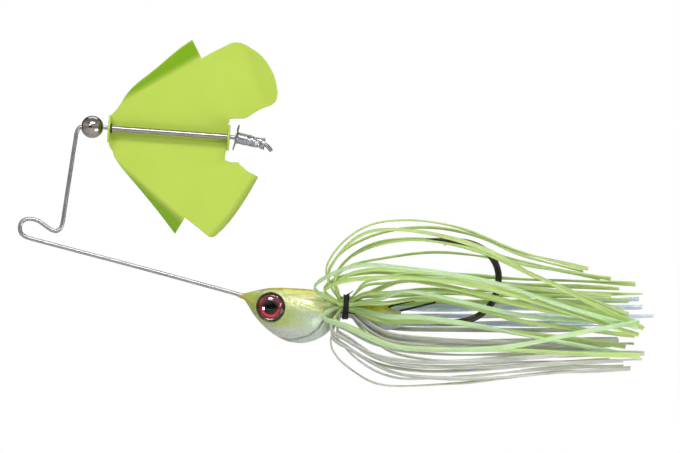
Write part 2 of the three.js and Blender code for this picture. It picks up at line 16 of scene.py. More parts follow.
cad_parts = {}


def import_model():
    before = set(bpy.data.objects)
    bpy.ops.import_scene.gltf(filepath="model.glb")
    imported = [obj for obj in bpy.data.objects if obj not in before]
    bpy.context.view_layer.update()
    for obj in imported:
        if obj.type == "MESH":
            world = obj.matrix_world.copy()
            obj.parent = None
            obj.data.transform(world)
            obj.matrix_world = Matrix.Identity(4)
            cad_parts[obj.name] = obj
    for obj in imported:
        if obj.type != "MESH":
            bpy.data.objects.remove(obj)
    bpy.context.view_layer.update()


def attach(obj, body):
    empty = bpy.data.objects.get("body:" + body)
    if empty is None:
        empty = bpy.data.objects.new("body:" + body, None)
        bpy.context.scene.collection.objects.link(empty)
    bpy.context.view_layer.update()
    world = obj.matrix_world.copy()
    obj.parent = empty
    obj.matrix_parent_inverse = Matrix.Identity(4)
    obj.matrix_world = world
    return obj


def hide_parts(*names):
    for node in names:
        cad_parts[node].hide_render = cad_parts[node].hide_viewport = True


MM = 0.001
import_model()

# -------- sizes, as in the CAD parts
WIRE_RADIUS = 0.43
HOOK_RADIUS = 0.7
HOOK_EYE_RADIUS = 1.45
HOOK_EYE_WIRE = 0.55
SHAFT_SLOPE = radians(4.2)
BEAD = {"station": -4.2, "radius": 2.35, "bore": 0.6}
SLEEVE = {"from": 0.0, "to": 24.25, "bore": 0.5, "radius": 0.62}
WASHER = {"from": -0.33, "to": -0.05, "bore": 0.5, "radius": 1.06}
RIVET = {"station": 25.95, "tilt": radians(13), "bore": 0.78, "radius": 1.18, "length": 6.2}
FLANGE = {"radius": 2.75, "thickness": 0.3}
SHEET = 0.4
PANEL_BACK = 1.7
EAR_HOLE = 0.62
NECK_Z = -16.6
TIE = {"from": 67.8, "to": 69.2, "radius": 2.64}
EYE = {"x": 52.8, "y": 3.15, "z": -16.55, "radius": 3.05, "yaw": radians(11), "disc": 0.35}
EYE_GAP = 0.06
EYE_DOME = 0.95
STRAND_WIDTH = 1.02
STRAND_THICKNESS = 0.4
PINCH_THICKNESS = 0.32
LAYERS = [(1.8, 0.72), (2.2, 0.88)]  # distance from the neck's axis, and width under the tie


# -------- small maths
def at(x, z, y=0.0):
    return Vector((x, y, z))


def places(*rows):
    return [at(*row) for row in rows]


def mixed(a, b, t):
    return a + (b - a) * t


def eased(value, low, high):
    """0 below low, 1 above high, and smooth in between."""
    t = np.clip((value - low) / (high - low), 0, 1)
    return t * t * (3 - 2 * t)


def circle(count):
    """The cosine and sine at even steps once round."""
    return [(cos(2 * pi * i / count), sin(2 * pi * i / count)) for i in range(count)]


def headings(points):
    """The direction of a line at each of its points."""
    around = zip([points[0], *points], [*points[1:], points[-1]])
    return [(after - before).normalized() for before, after in around]


def route(points, step):
    """Points about `step` apart on the centripetal Catmull-Rom curve that the CAD's routes follow."""
    ends = [points[0] * 2 - points[1], *points, points[-1] * 2 - points[-2]]
    line = [points[0]]
    for p0, p1, p2, p3 in zip(ends, ends[1:], ends[2:], ends[3:]):
        d0, d1, d2 = (sqrt((b - a).length) for a, b in ((p0, p1), (p1, p2), (p2, p3)))
        t1 = ((p1 - p0) / d0 - (p2 - p0) / (d0 + d1) + (p2 - p1) / d1) * d1
        t2 = ((p2 - p1) / d1 - (p3 - p1) / (d1 + d2) + (p3 - p2) / d2) * d1
        square, cube = (p2 - p1) * 3 - t1 * 2 - t2, (p1 - p2) * 2 + t1 + t2

        def place(t):
            return p1 + t1 * t + square * t * t + cube * t**3

        rough = [place(i / 6) for i in range(7)]
        length = sum((b - a).length for a, b in zip(rough, rough[1:]))
        count = max(2, ceil(length / step))
        line += [place((i + 1) / count) for i in range(count)]
    return line


def level(xs, ys):
    """A smooth curve through (x, y) places that doesn't swing past them."""
    xs, ys = np.array(xs, float), np.array(ys, float)
    gaps, slopes = np.diff(xs), np.diff(ys) / np.diff(xs)
    inner = np.zeros(len(xs))
    same = slopes[1:] * slopes[:-1] > 0
    inner[1:-1][same] = 2 / (1 / slopes[1:][same] + 1 / slopes[:-1][same])
    inner[0], inner[-1] = slopes[0], slopes[-1]

    def value(x):
        i = np.clip(np.searchsorted(xs, x) - 1, 0, len(gaps) - 1)
        g = gaps[i]
        t = (x - xs[i]) / g
        low = (2 * t**3 - 3 * t**2 + 1) * ys[i] + (t**3 - 2 * t**2 + t) * g * inner[i]
        return low + (3 * t**2 - 2 * t**3) * ys[i + 1] + (t**3 - t**2) * g * inner[i + 1]

    return value


SHAFT = Matrix.Translation(at(19.4, 20.9)) @ Matrix.Rotation(SHAFT_SLOPE, 4, "Y")


def on_shaft(s):
    return SHAFT @ Vector((s, 0, 0))


RIVET_FRAME = Matrix.Translation(on_shaft(RIVET["station"])) @ Matrix.Rotation(RIVET["tilt"], 4, "Y")


# -------- meshes
class Skin:
    """The points, in millimetres, and faces of one piece, gathered shape by shape.

    Each point also has a grain place: where it would be if its rod or strip lay straight along X.
    """

    def __init__(self):
        self.points, self.grain, self.faces = [], [], []

    def loft(self, rings, looped=False):
        """Adds a skin through rings of equal count, its ends capped, or joined if it is looped."""
        first, count = len(self.points), len(rings[0])
        for i in range(len(rings) if looped else len(rings) - 1):
            a, b = first + i * count, first + (i + 1) % len(rings) * count
            self.faces += [(a + j, b + j, b + (j + 1) % count, a + (j + 1) % count) for j in range(count)]
        if not looped:
            last = first + (len(rings) - 1) * count
            self.faces += [range(first, first + count), range(last, last + count)]
        along, before = 0.0, None
        for ring in rings:
            middle = sum(ring, Vector()) / count
            along += (middle - before).length if before is not None else 0.0
            before = middle
            for p, (c, s) in zip(ring, circle(count)):
                reach = (p - middle).length
                self.points.append(p)
                self.grain.append(Vector((along, reach * c, reach * s)))
        return self

    def placed(self, matrix):
        self.points = [matrix @ p for p in self.points]
        return self


def turned(outline, sides):
    """A shape turned about the X axis from a closed outline of (x, radius) pairs."""
    rings = [[Vector((x, -r * s, r * c)) for x, r in outline] for c, s in circle(sides)]
    skin = Skin().loft(rings, looped=True)
    skin.grain = list(skin.points)
    return skin


def carried(points):
    """Each point with two directions square to the line there, carried on without twisting."""
    side = None
    for p, along in zip(points, headings(points)):
        side = along.orthogonal() if side is None else side - along * side.dot(along)
        side.normalize()
        yield p, side, along.cross(side)


def rod(skin, points, radii, sides=20):
    """Adds a round rod along points, with one radius, a pair to taper between, or one for each point."""
    if isinstance(radii, tuple):
        radii = np.linspace(*radii, len(points)).tolist()
    if not isinstance(radii, list):
        chamfer = 0.2 * radii
        first = points[0] + (points[1] - points[0]).normalized() * chamfer
        last = points[-1] + (points[-2] - points[-1]).normalized() * chamfer
        points = [points[0], first, *points[1:-1], last, points[-1]]
        radii = [radii - chamfer] + [radii] * (len(points) - 2) + [radii - chamfer]
    rings = []
    for (p, side, up), radius in zip(carried(points), radii):
        rings.append([p + (side * c + up * s) * radius for c, s in circle(sides)])
    return skin.loft(rings)


def linked(name, data):
    made = bpy.data.objects.new(name, data)
    bpy.context.scene.collection.objects.link(made)
    return made


def piece(name, skin, material, slot, *nodes, body="frame", sharp=38):
    """Makes a piece of the object that stands for CAD nodes and rides on their body."""
    mesh = bpy.data.meshes.new(name)
    mesh.from_pydata([p * MM for p in skin.points], [], skin.faces)
    grain = mesh.attributes.new("grain", "FLOAT_VECTOR", "POINT")
    grain.data.foreach_set("vector", np.array(skin.grain, np.float32).ravel())
    bm = bmesh.new()
    bm.from_mesh(mesh)
    bmesh.ops.remove_doubles(bm, verts=bm.verts, dist=0.0005 * MM)
    bmesh.ops.dissolve_degenerate(bm, dist=0.0005 * MM, edges=bm.edges)
    bmesh.ops.recalc_face_normals(bm, faces=bm.faces)
    bm.to_mesh(mesh)
    bm.free()
    mesh.shade_smooth()
    mesh.set_sharp_from_angle(angle=radians(sharp))
    mesh.materials.append(material)
    made = linked(name, mesh)
    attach(made, body)
    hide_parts(*nodes)
    return made


# -------- materials
def tint(red, green, blue):
    """A colour as it looks on screen, each part 0 to 255, in the linear values that shaders take."""
    parts = (c / 255 for c in (red, green, blue))
    return (*(((c + 0.055) / 1.055) ** 2.4 if c > 0.04 else c / 12.92 for c in parts), 1.0)


class Nodes:
    """Short calls for the nodes of a world or a material."""

    def __init__(self, owner):
        owner.use_nodes = True
        self.tree = owner.node_tree

    def node(self, kind, sockets=None, **settings):
        made = self.tree.nodes.new("ShaderNode" + kind)
        for setting, value in settings.items():
            setattr(made, setting, value)
        for socket, value in (sockets or {}).items():
            if isinstance(value, bpy.types.NodeSocket):
                self.tree.links.new(value, made.inputs[socket])
            else:
                made.inputs[socket].default_value = value
        return made

    def axes(self, vector):
        return self.node("SeparateXYZ", {0: vector}).outputs

    def vectors(self, operation, a, b):
        return self.node("VectorMath", {0: a, 1: b}, operation=operation).outputs

    def sums(self, operation, a, b=0.0):
        return self.node("Math", {0: a, 1: b}, operation=operation).outputs[0]

    def band(self, value, low, high):
        """0 at low, 1 at high, and smooth in between."""
        found = {"Value": value, "From Min": low, "From Max": high}
        return self.node("MapRange", found, interpolation_type="SMOOTHSTEP").outputs["Result"]


class Finish(Nodes):
    """A material with one Principled shader."""

    def __init__(self, name, **sockets):
        self.material = bpy.data.materials.new(name)
        super().__init__(self.material)
        self.shader = self.tree.nodes["Principled BSDF"]
        for socket, value in sockets.items():
            self.shader.inputs[socket.replace("_", " ")].default_value = value
        where = self.node("TexCoord").outputs["Object"]
        self.place = self.node("VectorMath", {0: where, 3: 1 / MM}, operation="SCALE").outputs[0]
        self.grain = self.node("Attribute", attribute_name="grain").outputs["Vector"]

    def noise(self, scale, detail, stretch=(1, 1, 1), place=None):
        """Soft noise with about `scale` features a millimetre, drawn out where stretch is small."""
        where = self.vectors("MULTIPLY", place or self.place, stretch)[0]
        return self.node("TexNoise", {"Vector": where, "Scale": scale, "Detail": detail}).outputs["Fac"]

    def mix(self, factor, *colours):
        a, b = (tint(*colour) if isinstance(colour, tuple) else colour for colour in colours)
        return self.node("Mix", {0: factor, 6: a, 7: b}, data_type="RGBA").outputs[2]

    def tones(self, value, low, high, *colours):
        """The first colour below low, the second above high. A tuple is a tint, 0 to 255."""
        return self.mix(self.band(value, low, high), *colours)

    def feed(self, **sockets):
        for socket, value in sockets.items():
            self.tree.links.new(value, self.shader.inputs[socket.replace("_", " ")])

    def done(self, colour, rough, bump=None):
        """Feeds a colour, a roughness that follows noise as (noise, low, high), and (height, depth)."""
        spots, low, high = rough
        found = {"Value": spots, "From Min": 0.3, "From Max": 0.7, "To Min": low, "To Max": high}
        self.feed(Base_Color=colour, Roughness=self.node("MapRange", found).outputs["Result"])
        if bump and bump[1]:
            found = {"Height": bump[0], "Strength": 1.0, "Distance": bump[1] * MM}
            self.feed(Normal=self.node("Bump", found).outputs["Normal"])
        return self.material


# Two colours, the scale and detail of the noise between them, where it fades, and the roughness.
METALS = {
    "spring_steel": ((162, 158, 158), (184, 181, 180), 9, 3, (0.3, 0.7), (0.24, 0.34)),
    "bead_chrome": ((160, 150, 144), (182, 174, 168), 3.5, 4, (0.35, 0.7), (0.05, 0.12)),
    "sleeve_steel": ((146, 142, 138), (180, 177, 174), 10, 3, (0.3, 0.7), (0.16, 0.28)),
    "washer_dark": ((44, 41, 38), (96, 90, 84), 2.2, 3, (0.4, 0.75), (0.35, 0.55)),
    "rivet_aluminium": ((142, 144, 150), (188, 190, 195), 3.2, 4, (0.3, 0.7), (0.22, 0.4)),
    "black_nickel": ((60, 56, 56), (88, 82, 82), 7, 3, (0.3, 0.7), (0.07, 0.14)),
    "keeper_black": ((26, 25, 25), (70, 66, 62), 2, 3, (0.45, 0.75), (0.35, 0.5)),
}


def metal(name, drawn=None, smears=None, depth=0.0, metallic=1.0):
    """Mottled metal. Its marks run along the grain if it is drawn, and are `depth` deep."""
    dark, light, scale, detail, fade, rough = METALS[name]
    made = Finish(name, Metallic=metallic)
    marks = made.noise(scale, detail, (drawn, 1, 1), made.grain) if drawn else made.noise(scale, detail)
    wear = made.noise(smears, 3) if smears else marks
    return made.done(made.tones(marks, *fade, dark, light), (wear, *rough), (marks, depth))


def blade_paint():
    """Satin chartreuse with painted shade: a deeper green on the flaps, which turn away from the light. The
    grain's Y is how far a flap leaves the panel.
    """
    paint = Finish("blade_paint", Specular_IOR_Level=0.3, Coat_Weight=0.05, Coat_Roughness=0.35)
    peel = paint.noise(2.6, 2)
    flap_shade = paint.sums("ABSOLUTE", paint.axes(paint.grain)["Y"])
    face = paint.tones(paint.noise(0.11, 2), 0.3, 0.7, (181, 206, 78), (184, 209, 83))
    # Painted shade: the flaps turn a deeper green the further they leave the panel.
    colour = paint.tones(flap_shade, 0.1, 1.4, face, (138, 188, 22))
    return paint.done(colour, (peel, 0.42, 0.52), (peel, 0.006))


def head_paint():
    """Chartreuse back over pearl streaks, a green-grey flank, a pale belly and an orange throat, with painted
    shade along the gill groove.
    """
    paint = Finish("head_paint", Coat_Weight=0.4, Coat_Roughness=0.28, Metallic=0.1)
    sums, band, tones = paint.sums, paint.band, paint.tones
    spray, speckle, streak = paint.noise(0.9, 4), paint.noise(5, 3), paint.noise(1.5, 3, (0.12, 1, 1.3))
    axes = paint.axes(paint.place)
    x, z = axes["X"], axes["Z"]
    run = sums("SUBTRACT", x, 55.0)
    soft = sums("ADD", z, sums("MULTIPLY", sums("SUBTRACT", spray, 0.5), 1.6))
    height = sums("ADD", soft, sums("MULTIPLY", run, 0.1))
    slope = sums("ADD", soft, sums("MULTIPLY", run, 0.3))
    belly = tones(speckle, 0.35, 0.7, (172, 182, 170), (202, 208, 194))
    grey = tones(speckle, 0.35, 0.7, (168, 186, 164), (190, 204, 180))
    green = tones(speckle, 0.35, 0.7, (150, 166, 78), (178, 190, 98))
    pearl = tones(streak, 0.4, 0.62, (198, 206, 128), (228, 230, 186))
    back = tones(spray, 0.35, 0.65, (196, 198, 52), (214, 212, 84))
    bulb = tones(soft, -18.2, -17.0, (206, 214, 204), (222, 216, 70))
    colour = tones(height, -21.6, -19.8, belly, tones(x, 54.0, 63.0, green, grey))
    colour = tones(slope, -16.3, -14.9, colour, pearl)
    colour = tones(height, -13.7, -13.0, colour, back)
    colour = tones(x, 51.5, 48.6, colour, (172, 180, 78))
    colour = tones(x, 67.5, 70.5, colour, bulb)
    # Painted shade: the gill groove is darkened along its line.
    groove = sums("MULTIPLY", band(paint.axes(paint.grain)["X"], 0.42, 0.08), 0.6)
    colour = paint.mix(groove, colour, (112, 110, 118))
    keel = sums("ADD", sums("ABSOLUTE", axes["Y"]), sums("MULTIPLY", spray, 0.5))
    found = {"Value": x, "From Min": 47, "From Max": 53, "To Min": 0.7, "To Max": 1.15}
    edge = paint.node("MapRange", found).outputs["Result"]
    throat = sums("MULTIPLY", band(sums("SUBTRACT", keel, edge), 0.25, -0.15), band(x, 57.5, 53.5))
    throat = sums("MULTIPLY", throat, band(z, -14.3, -14.6))
    colour = paint.mix(throat, colour, (228, 108, 34))
    return paint.done(colour, (spray, 0.22, 0.36), (speckle, 0.004))


def eye_foil():
    """A black pupil and rim printed over red foil, in rings about the disc's axis, its grain's X. The red's
    lower inner part is a painted highlight.
    """
    foil = Finish("eye_foil", Specular_IOR_Level=0.15)
    square = foil.vectors("MULTIPLY", foil.grain, (0, 1, 1))[0]
    reach = foil.vectors("LENGTH", square, (0, 0, 0))["Value"]
    reach = foil.sums("ADD", reach, foil.sums("MULTIPLY", foil.noise(2.2, 2), 0.12))
    glitter = foil.noise(7, 3)
    inner = foil.band(reach, 2.25, 1.85)
    # Painted light: the red is painted lighter low down near the pupil, where light gathers through the dome,
    # and darker at the top.
    low = foil.band(foil.axes(foil.place)["Z"], EYE["z"] + 0.9, EYE["z"] - 1.4)
    shaded_red = foil.tones(glitter, 0.52, 0.72, (104, 0, 6), (186, 12, 22))
    lit_red = foil.tones(glitter, 0.45, 0.7, (204, 6, 18), (244, 66, 66))
    red = foil.mix(foil.sums("MULTIPLY", inner, low), shaded_red, lit_red)
    ring = foil.tones(reach, 2.42, 2.54, red, (4, 3, 3))
    foil.feed(Metallic=foil.sums("MULTIPLY", inner, foil.band(glitter, 0.4, 0.8)))
    return foil.done(foil.tones(reach, 1.58, 1.68, (2, 2, 2), ring), (glitter, 0.25, 0.45))


def eye_clear():
    resin = Finish("eye_clear", Transmission_Weight=1.0, IOR=1.45, Specular_IOR_Level=0.3)
    haze = resin.noise(1.4, 2)
    return resin.done(resin.mix(haze, (250, 250, 250), (244, 246, 244)), (haze, 0.0, 0.02))


def thread_black():
    thread = Finish("thread", Specular_IOR_Level=0.35)
    found = {"Vector": thread.grain, "Scale": 1.1, "Distortion": 1.2, "Detail": 2.0}
    twist = thread.node("TexWave", found, bands_direction="DIAGONAL").outputs["Fac"]
    colour = thread.tones(twist, 0.55, 1.0, (4, 4, 5), (44, 44, 47))
    return thread.done(colour, (twist, 0.35, 0.6), (twist, 0.03))


def silicone(name, shade, colour, pale, seed):
    """Satin translucent strip with faint lines along it."""
    soft = {"Subsurface_Weight": 1.0, "Subsurface_Scale": 1.0 * MM, "Subsurface_Radius": (0.8, 1.0, 0.5)}
    strip = Finish(name, Transmission_Weight=0.12, IOR=1.41, **soft)
    lines = strip.noise(3.2, 2, (0.03, 1, 1), strip.grain)
    cloud = strip.noise(0.22, 2, (1 + seed * 0.07, 1, 1))
    base = strip.tones(cloud, 0.3, 0.7, colour, pale)
    strip.done(strip.tones(lines, 0.52, 0.28, base, shade), (lines, 0.34, 0.5), (lines, 0.01))
    return strip


def skirt_flake():
    """Clear blue-grey silicone full of silver flake, the flakes painted near-white as a painted glint."""
    strip = silicone("skirt_flake", (168, 184, 206), (194, 208, 228), (208, 220, 236), 4)
    cells = strip.node("TexVoronoi", {"Vector": strip.place, "Scale": 2.5}).outputs
    bright = strip.node("SeparateColor", {0: cells["Color"]}).outputs
    core = strip.band(cells["Distance"], 0.62, 0.5)
    mask = strip.sums("MULTIPLY", strip.sums("GREATER_THAN", bright[0], 0.5), core)
    base = strip.shader.inputs["Base Color"].links[0].from_socket
    # The flakes are real; their near-white colour is also a painted glint, bright whatever the light.
    glint = strip.mix(bright[1], (214, 230, 252), (255, 255, 252))
    strip.feed(
        Base_Color=strip.mix(mask, base, glint),
        Metallic=strip.sums("MULTIPLY", mask, 0.15),
        Roughness=strip.node("MapRange", {"Value": mask, "To Min": 0.42, "To Max": 0.12}).outputs[0],
    )
    return strip


# -------- wire, bead, sleeve, washer, rivet
HOOK_EYE = at(57.6, -16.9)
WIRE_ROUTE = [
    *places((57.6, -16.9, -2.3), (57.6, -16.9, 0.6), (56.6, -16.75, 1.7), (54.6, -16.3, 1.5)),  # in the eye
    *places((51.5, -15.5, 0.35), (47.2, -14.3), (25, -8.25), (4.2, -2.75)),  # the nose and lower arm
    *places((2.2, -2.2), (1, -1.75), (0.15, -0.85), (0.15, 0.8), (1, 1.7), (2.2, 1.9)),  # line tie
    *places((3.8, 1.5), (5.5, 0.35), (6.7, -0.45), (7.7, -0.65), (8.6, -0.05), (9.05, 1.5)),
    *places((9.35, 3.4), (10.6, 11.6), (11.7, 18.6), (12, 20.2), (12.6, 21.1)),  # upper arm
    *(on_shaft(s) for s in (-5.4, 4, 14, 24)),
    *(RIVET_FRAME @ Vector((s, 0, 0)) for s in (0.6, 4.6, 6.3)),
    *places((52.2, 16.95), (52.85, 16.1)),  # tail, bent down behind the rivet
]


def wire_form():
    skin = rod(Skin(), route(WIRE_ROUTE, 0.35), WIRE_RADIUS, 20)
    steel = metal("spring_steel", drawn=0.03, smears=0.6, depth=0.0003)
    piece("wire", skin, steel, "spring_steel", "wire_form")


def bead():
    """A drilled ball with a small chamfer at each end of its bore."""
    radius, bore, middle = BEAD["radius"], BEAD["bore"], BEAD["station"]
    start = asin((bore + 0.12) / radius)
    angles = [mixed(start, pi - start, i / 40) for i in range(41)]
    end = radius * cos(start) - 0.1
    outline = [(middle - radius * cos(a), radius * sin(a)) for a in angles]
    outline += [(middle + end, bore), (middle - end, bore)]
    ball = turned(outline, 72).placed(SHAFT)
    piece("steel_bead", ball, metal("bead_chrome"), "bead_chrome", "bead", body="bead")


def ringed(size, chamfer):
    """The outline of a tube or washer with broken edges."""
    a, b, bore, radius = size["from"], size["to"], size["bore"], size["radius"]
    outside = [(a, radius - chamfer), (a + chamfer, radius), (b - chamfer, radius), (b, radius - chamfer)]
    half = chamfer / 2
    return [(a, bore + half), *outside, (b, bore + half), (b - half, bore), (a + half, bore)]


def sleeve_and_washer():
    sleeve = turned(ringed(SLEEVE, 0.04), 40).placed(SHAFT)
    washer = turned(ringed(WASHER, 0.05), 40).placed(SHAFT)
    steel = metal("sleeve_steel", drawn=0.04, depth=0.0008)
    piece("sleeve_tube", sleeve, steel, "sleeve_steel", "blade_sleeve", body="sleeve")
    dark = metal("washer_dark", metallic=0.8)
    piece("stop_washer", washer, dark, "washer_dark", "thrust_washer", body="sleeve")


# Dents that the pliers left round the rivet's barrel: along it, angle round it (0 up, 90 near), depth.
CRIMPS = [
    (2.9, 60, 0.2), (3.7, 150, 0.34), (4.1, 20, 0.3),
    (4.9, 95, 0.42), (5.5, 200, 0.34), (5.3, 310, 0.4),
]


def crimped(p, bore, length):
    """Where a point of the plain rivet ends up: dented barrel, uneven flange and ragged tail."""
    reach = hypot(p.y, p.z)
    angle = degrees(atan2(-p.y, p.z)) % 360
    squeeze = 0.0
    for station, centre, depth in CRIMPS:
        away = min(abs(angle - centre), 360 - abs(angle - centre)) / 34
        squeeze += depth * exp(-(((p.x - station) / 0.55) ** 2) - away**2)
    share = float(eased(p.x, 2.0, 3.2))
    if reach < bore + 0.01:
        outer = max(0.5, min(reach, reach - (squeeze - 0.25) * share))
    elif p.x > 1:
        rough = noise.noise(Vector((p.x * 1.6, p.y * 1.2, p.z * 1.2)))
        outer = max(reach - (squeeze + 0.16 * rough) * share, WIRE_RADIUS + 0.22)
    else:
        outer = reach
    x = p.x + 0.35 * float(eased(p.x, length - 0.7, length)) * noise.noise(p * 1.3)
    if p.x < FLANGE["thickness"] + 0.05:
        x += 0.22 * (reach / FLANGE["radius"]) ** 2 * noise.noise(Vector((3.1, p.y * 0.5, p.z * 0.5)))
    return Vector((x, p.y * outer / reach, p.z * outer / reach))


def rivet():
    """A thin-flanged tubular rivet, crimped onto the wire behind the blade."""
    bore, radius, length = RIVET["bore"], RIVET["radius"], RIVET["length"]
    rim, thin = FLANGE["radius"], FLANGE["thickness"]
    steps = 44
    barrel = [(mixed(thin + 0.3, length, i / steps), radius) for i in range(steps + 1)]
    bored = [(mixed(length, 0.0, i / steps), bore) for i in range(steps)]
    flange = [(0.0, bore), (0.0, rim - 0.08), (0.08, rim), (thin - 0.1, rim), (thin - 0.02, rim - 0.1)]
    root = [(thin - 0.02, radius + 0.4), (thin + 0.08, radius + 0.12)]
    skin = turned(flange + root + barrel + bored, 64)
    skin.points = [crimped(p, bore, length) for p in skin.points]
    aluminium = metal("rivet_aluminium", smears=1.1, depth=0.012)
    piece("wire_rivet", skin.placed(RIVET_FRAME), aluminium, "rivet_aluminium", "rivet", sharp=50)


# -------- blade
# The blade is one sheet. It is cut out flat and bent along its folds. A place on the sheet is (s, h):
# along the shaft and up from it.
class Bend:
    """A rounded bend: the sheet to the left of a line turns by an angle about a radius."""

    def __init__(self, line, radius, angle, away, ends=(-99, 99)):
        self.line = [Vector(p) for p in line]
        self.radius, self.angle, self.away, self.ends = radius, radians(angle), away, ends
        self.arc = radius * self.angle

    def locate(self, p):
        """The nearest place on the line, the direction into the bent part and how far into it p is."""
        found = []
        last = len(self.line) - 2
        for i, (a, b) in enumerate(zip(self.line, self.line[1:])):
            along = (b - a).normalized()
            t = (p - a).dot(along)
            t = max(t, 0.0) if i else t
            t = min(t, (b - a).length) if i < last else t
            foot = a + along * t
            found.append(((p - foot).length, i, foot, Vector((-along.y, along.x))))
        _, _, foot, across = min(found)
        folded = self.ends[0] - 0.05 <= p.y <= self.ends[1] + 0.05
        return foot, across, (p - foot).dot(across) if folded else 0.0

    def bent(self, p):
        """Where p on the flat sheet goes: its new (s, h) and how far it leaves the panel's plane."""
        foot, across, d = self.locate(p)
        if d <= 0:
            return p, 0.0
        turn, rest = min(d, self.arc) / self.radius, max(0.0, d - self.arc)
        x = self.radius * sin(turn) + rest * cos(self.angle)
        depth = self.radius * (1 - cos(turn)) + rest * sin(self.angle)
        return foot + across * x + (p - foot - across * d), depth * self.away

    def flat(self, p):
        """Where on the flat sheet a place that is seen from the side comes from."""
        _, across, x = self.locate(p)
        reach = self.radius * sin(self.angle)
        if x <= 0:
            return p
        if x < reach:
            d = self.radius * asin(x / self.radius)
        else:
            d = self.arc + (x - reach) / max(0.05, cos(self.angle))
        return p + across * (d - x)


CURL_RADIUS = 2.2
CURL_EDGE = [(31.1, -7.8), (29.2, -11.4), (27.2, -15.0), (25.4, -17.9), (23.2, -20.7)]
EAR_RADIUS = 0.45
EAR_LENGTH = 4.0


def curl_start():
    """The line where the lower wing's trailing part begins to curl away, inside its outer edge."""
    edge = route(places(*CURL_EDGE), 1.2)
    return [Vector((p.x + a.z * CURL_RADIUS, p.z - a.x * CURL_RADIUS)) for p, a in zip(edge, headings(edge))]


UPPER_FLAP = Bend([(1.1, 5.05), (17.55, 16.15)], 0.9, 49, -1)
LOWER_FLAP = Bend([(16.6, -17.5), (0.75, -5.75)], 0.9, 49, 1)
LOBE = Bend([(24.4, 20.0), (31.0, 6.4)], 6.0, 17.7, -1)
CURL = Bend(curl_start(), CURL_RADIUS, 86, 1)
FRONT_EAR = Bend([(-0.15, -3.1), (-0.15, 2.8)], EAR_RADIUS, 90, -1, (-3.1, 2.8))
REAR_EAR = Bend([(24.1, 2.6), (24.1, -2.9)], EAR_RADIUS, 90, -1, (-2.9, 2.6))
BENDS = [UPPER_FLAP, LOWER_FLAP, LOBE, CURL, FRONT_EAR, REAR_EAR]


def curve(*spots):
    """Points along a smooth curve on the sheet."""
    return [Vector((p.x, p.z)) for p in route(places(*spots), 0.35)]


def straight(*corners):
    """Points along straight edges on the sheet."""
    points = []
    for a, b in zip(map(Vector, corners), map(Vector, corners[1:])):
        count = max(1, ceil((b - a).length / 0.35))
        points += [a.lerp(b, i / count) for i in range(count)]
    return [*points, Vector(corners[-1])]


def seen(stroke, *spots):
    """A stroke through places that are seen from the side, as points on the flat sheet."""
    points = stroke(*spots)
    for bend in BENDS:
        points = [bend.flat(p) for p in points]
    return points


def ear_edge(bend):
    """The outline of an ear on the flat sheet, from one end of its fold to the other."""
    last, first = bend.line
    fold, across = (first + last) / 2, bend.locate(first)[1]
    a, b = (p.lerp(fold, 0.12) + across * (EAR_LENGTH - 0.5) for p in (first, last))
    return [*straight(first, a), *curve(a, fold + across * (EAR_LENGTH + 0.9), b), *straight(b, last)]


def curled_edge():
    """The outline of the hidden trailing lobe on the flat sheet, from its lower end to its upper."""
    line = curl_start()[::-1]
    points = []
    for i, p in enumerate(line):
        across = CURL.locate(p + Vector((1e-4, -1e-4)))[1]
        bulge = sin(pi * (i + 0.6) / (len(line) + 0.2)) ** 0.6
        points.append(p + across * (2.4 + 3.5 * bulge))
    return curve(*points)


def blade_outline():
    """The sheet's outline when flat, anticlockwise from the front ear's lower corner."""
    lobe = [(31.7, 6.8), (33.1, 7.45), (33.85, 8.35), (34.05, 9.8), (33.7, 11.7), (32.9, 13.9), (31.6, 15.95)]
    lobe += [(29.8, 17.8), (27.4, 19.2), (25.7, 19.9), (24.4, 20), (23.4, 19.65)]
    return [
        *seen(curve, (-0.55, -3.2), (-0.38, -3.7), (-0.12, -4.15), (0.4, -4.8), (0.7, -5.7)),
        *seen(curve, (0.75, -5.85), (2, -7.4), (7.2, -12.8), (10.9, -16.75), (14.65, -21.05)),
        *seen(straight, (14.65, -21.05), (15.5, -19.5), (16.55, -17.55)),
        *seen(straight, (16.55, -17.55), (19.85, -19.75)),
        *seen(curve, (19.85, -19.75), (21.2, -20.75), (21.9, -21.2), (22.6, -21.15)),
        *curled_edge(),
        *seen(curve, (31, -7.75), (30.2, -7.37), (29.05, -6.9), (27.9, -6.05), (26.8, -5.15)),
        *seen(curve, (26.8, -5.15), (25.3, -5.2), (24.25, -4.95)),
        *seen(curve, (24.1, -4.8), (24, -4.2), (24.1, -3.45), (24.1, -2.9)),
        *ear_edge(REAR_EAR),
        *seen(curve, (24.1, 2.6), (24.35, 3), (24.4, 3.65)),
        *seen(curve, (24.55, 3.85), (26, 4), (27.8, 4.25), (29, 5.1), (30.4, 6.1), (31.7, 6.8)),
        *seen(curve, *lobe),
        *seen(curve, (23.4, 19.65), (20.2, 17.8), (17.6, 16.1)),
        *seen(straight, (17.6, 16.1), (15.5, 19.65)),
        *seen(curve, (15.5, 19.65), (12.9, 17.55), (8.15, 13), (3.9, 9.1), (2.4, 7.15), (1.15, 5.05)),
        *seen(curve, (1.15, 5.05), (0.3, 3.7), (-0.55, 2.92)),
        *ear_edge(FRONT_EAR),
    ]


GRID = 0.5  # spacing of the sheet's points away from its bends
GRID_ROW = GRID * 0.87
HOLE_SIDES = 32


def inside(points, outline):
    """Which points lie in a closed outline, for arrays of shape (n, 2)."""
    x, y = points[:, 0:1], points[:, 1:2]
    a, b = outline, np.roll(outline, -1, axis=0)
    rise = np.where(b[:, 1] == a[:, 1], 1e-12, b[:, 1] - a[:, 1])
    crossing = (a[:, 1] > y) != (b[:, 1] > y)
    left = x < (b[:, 0] - a[:, 0]) * (y - a[:, 1]) / rise + a[:, 0]
    return (crossing & left).sum(1) % 2 == 1


def clear_of(points, others, gap):
    spans = np.linalg.norm(points[:, None] - others[None], axis=2)
    return points[spans.min(1) > gap]


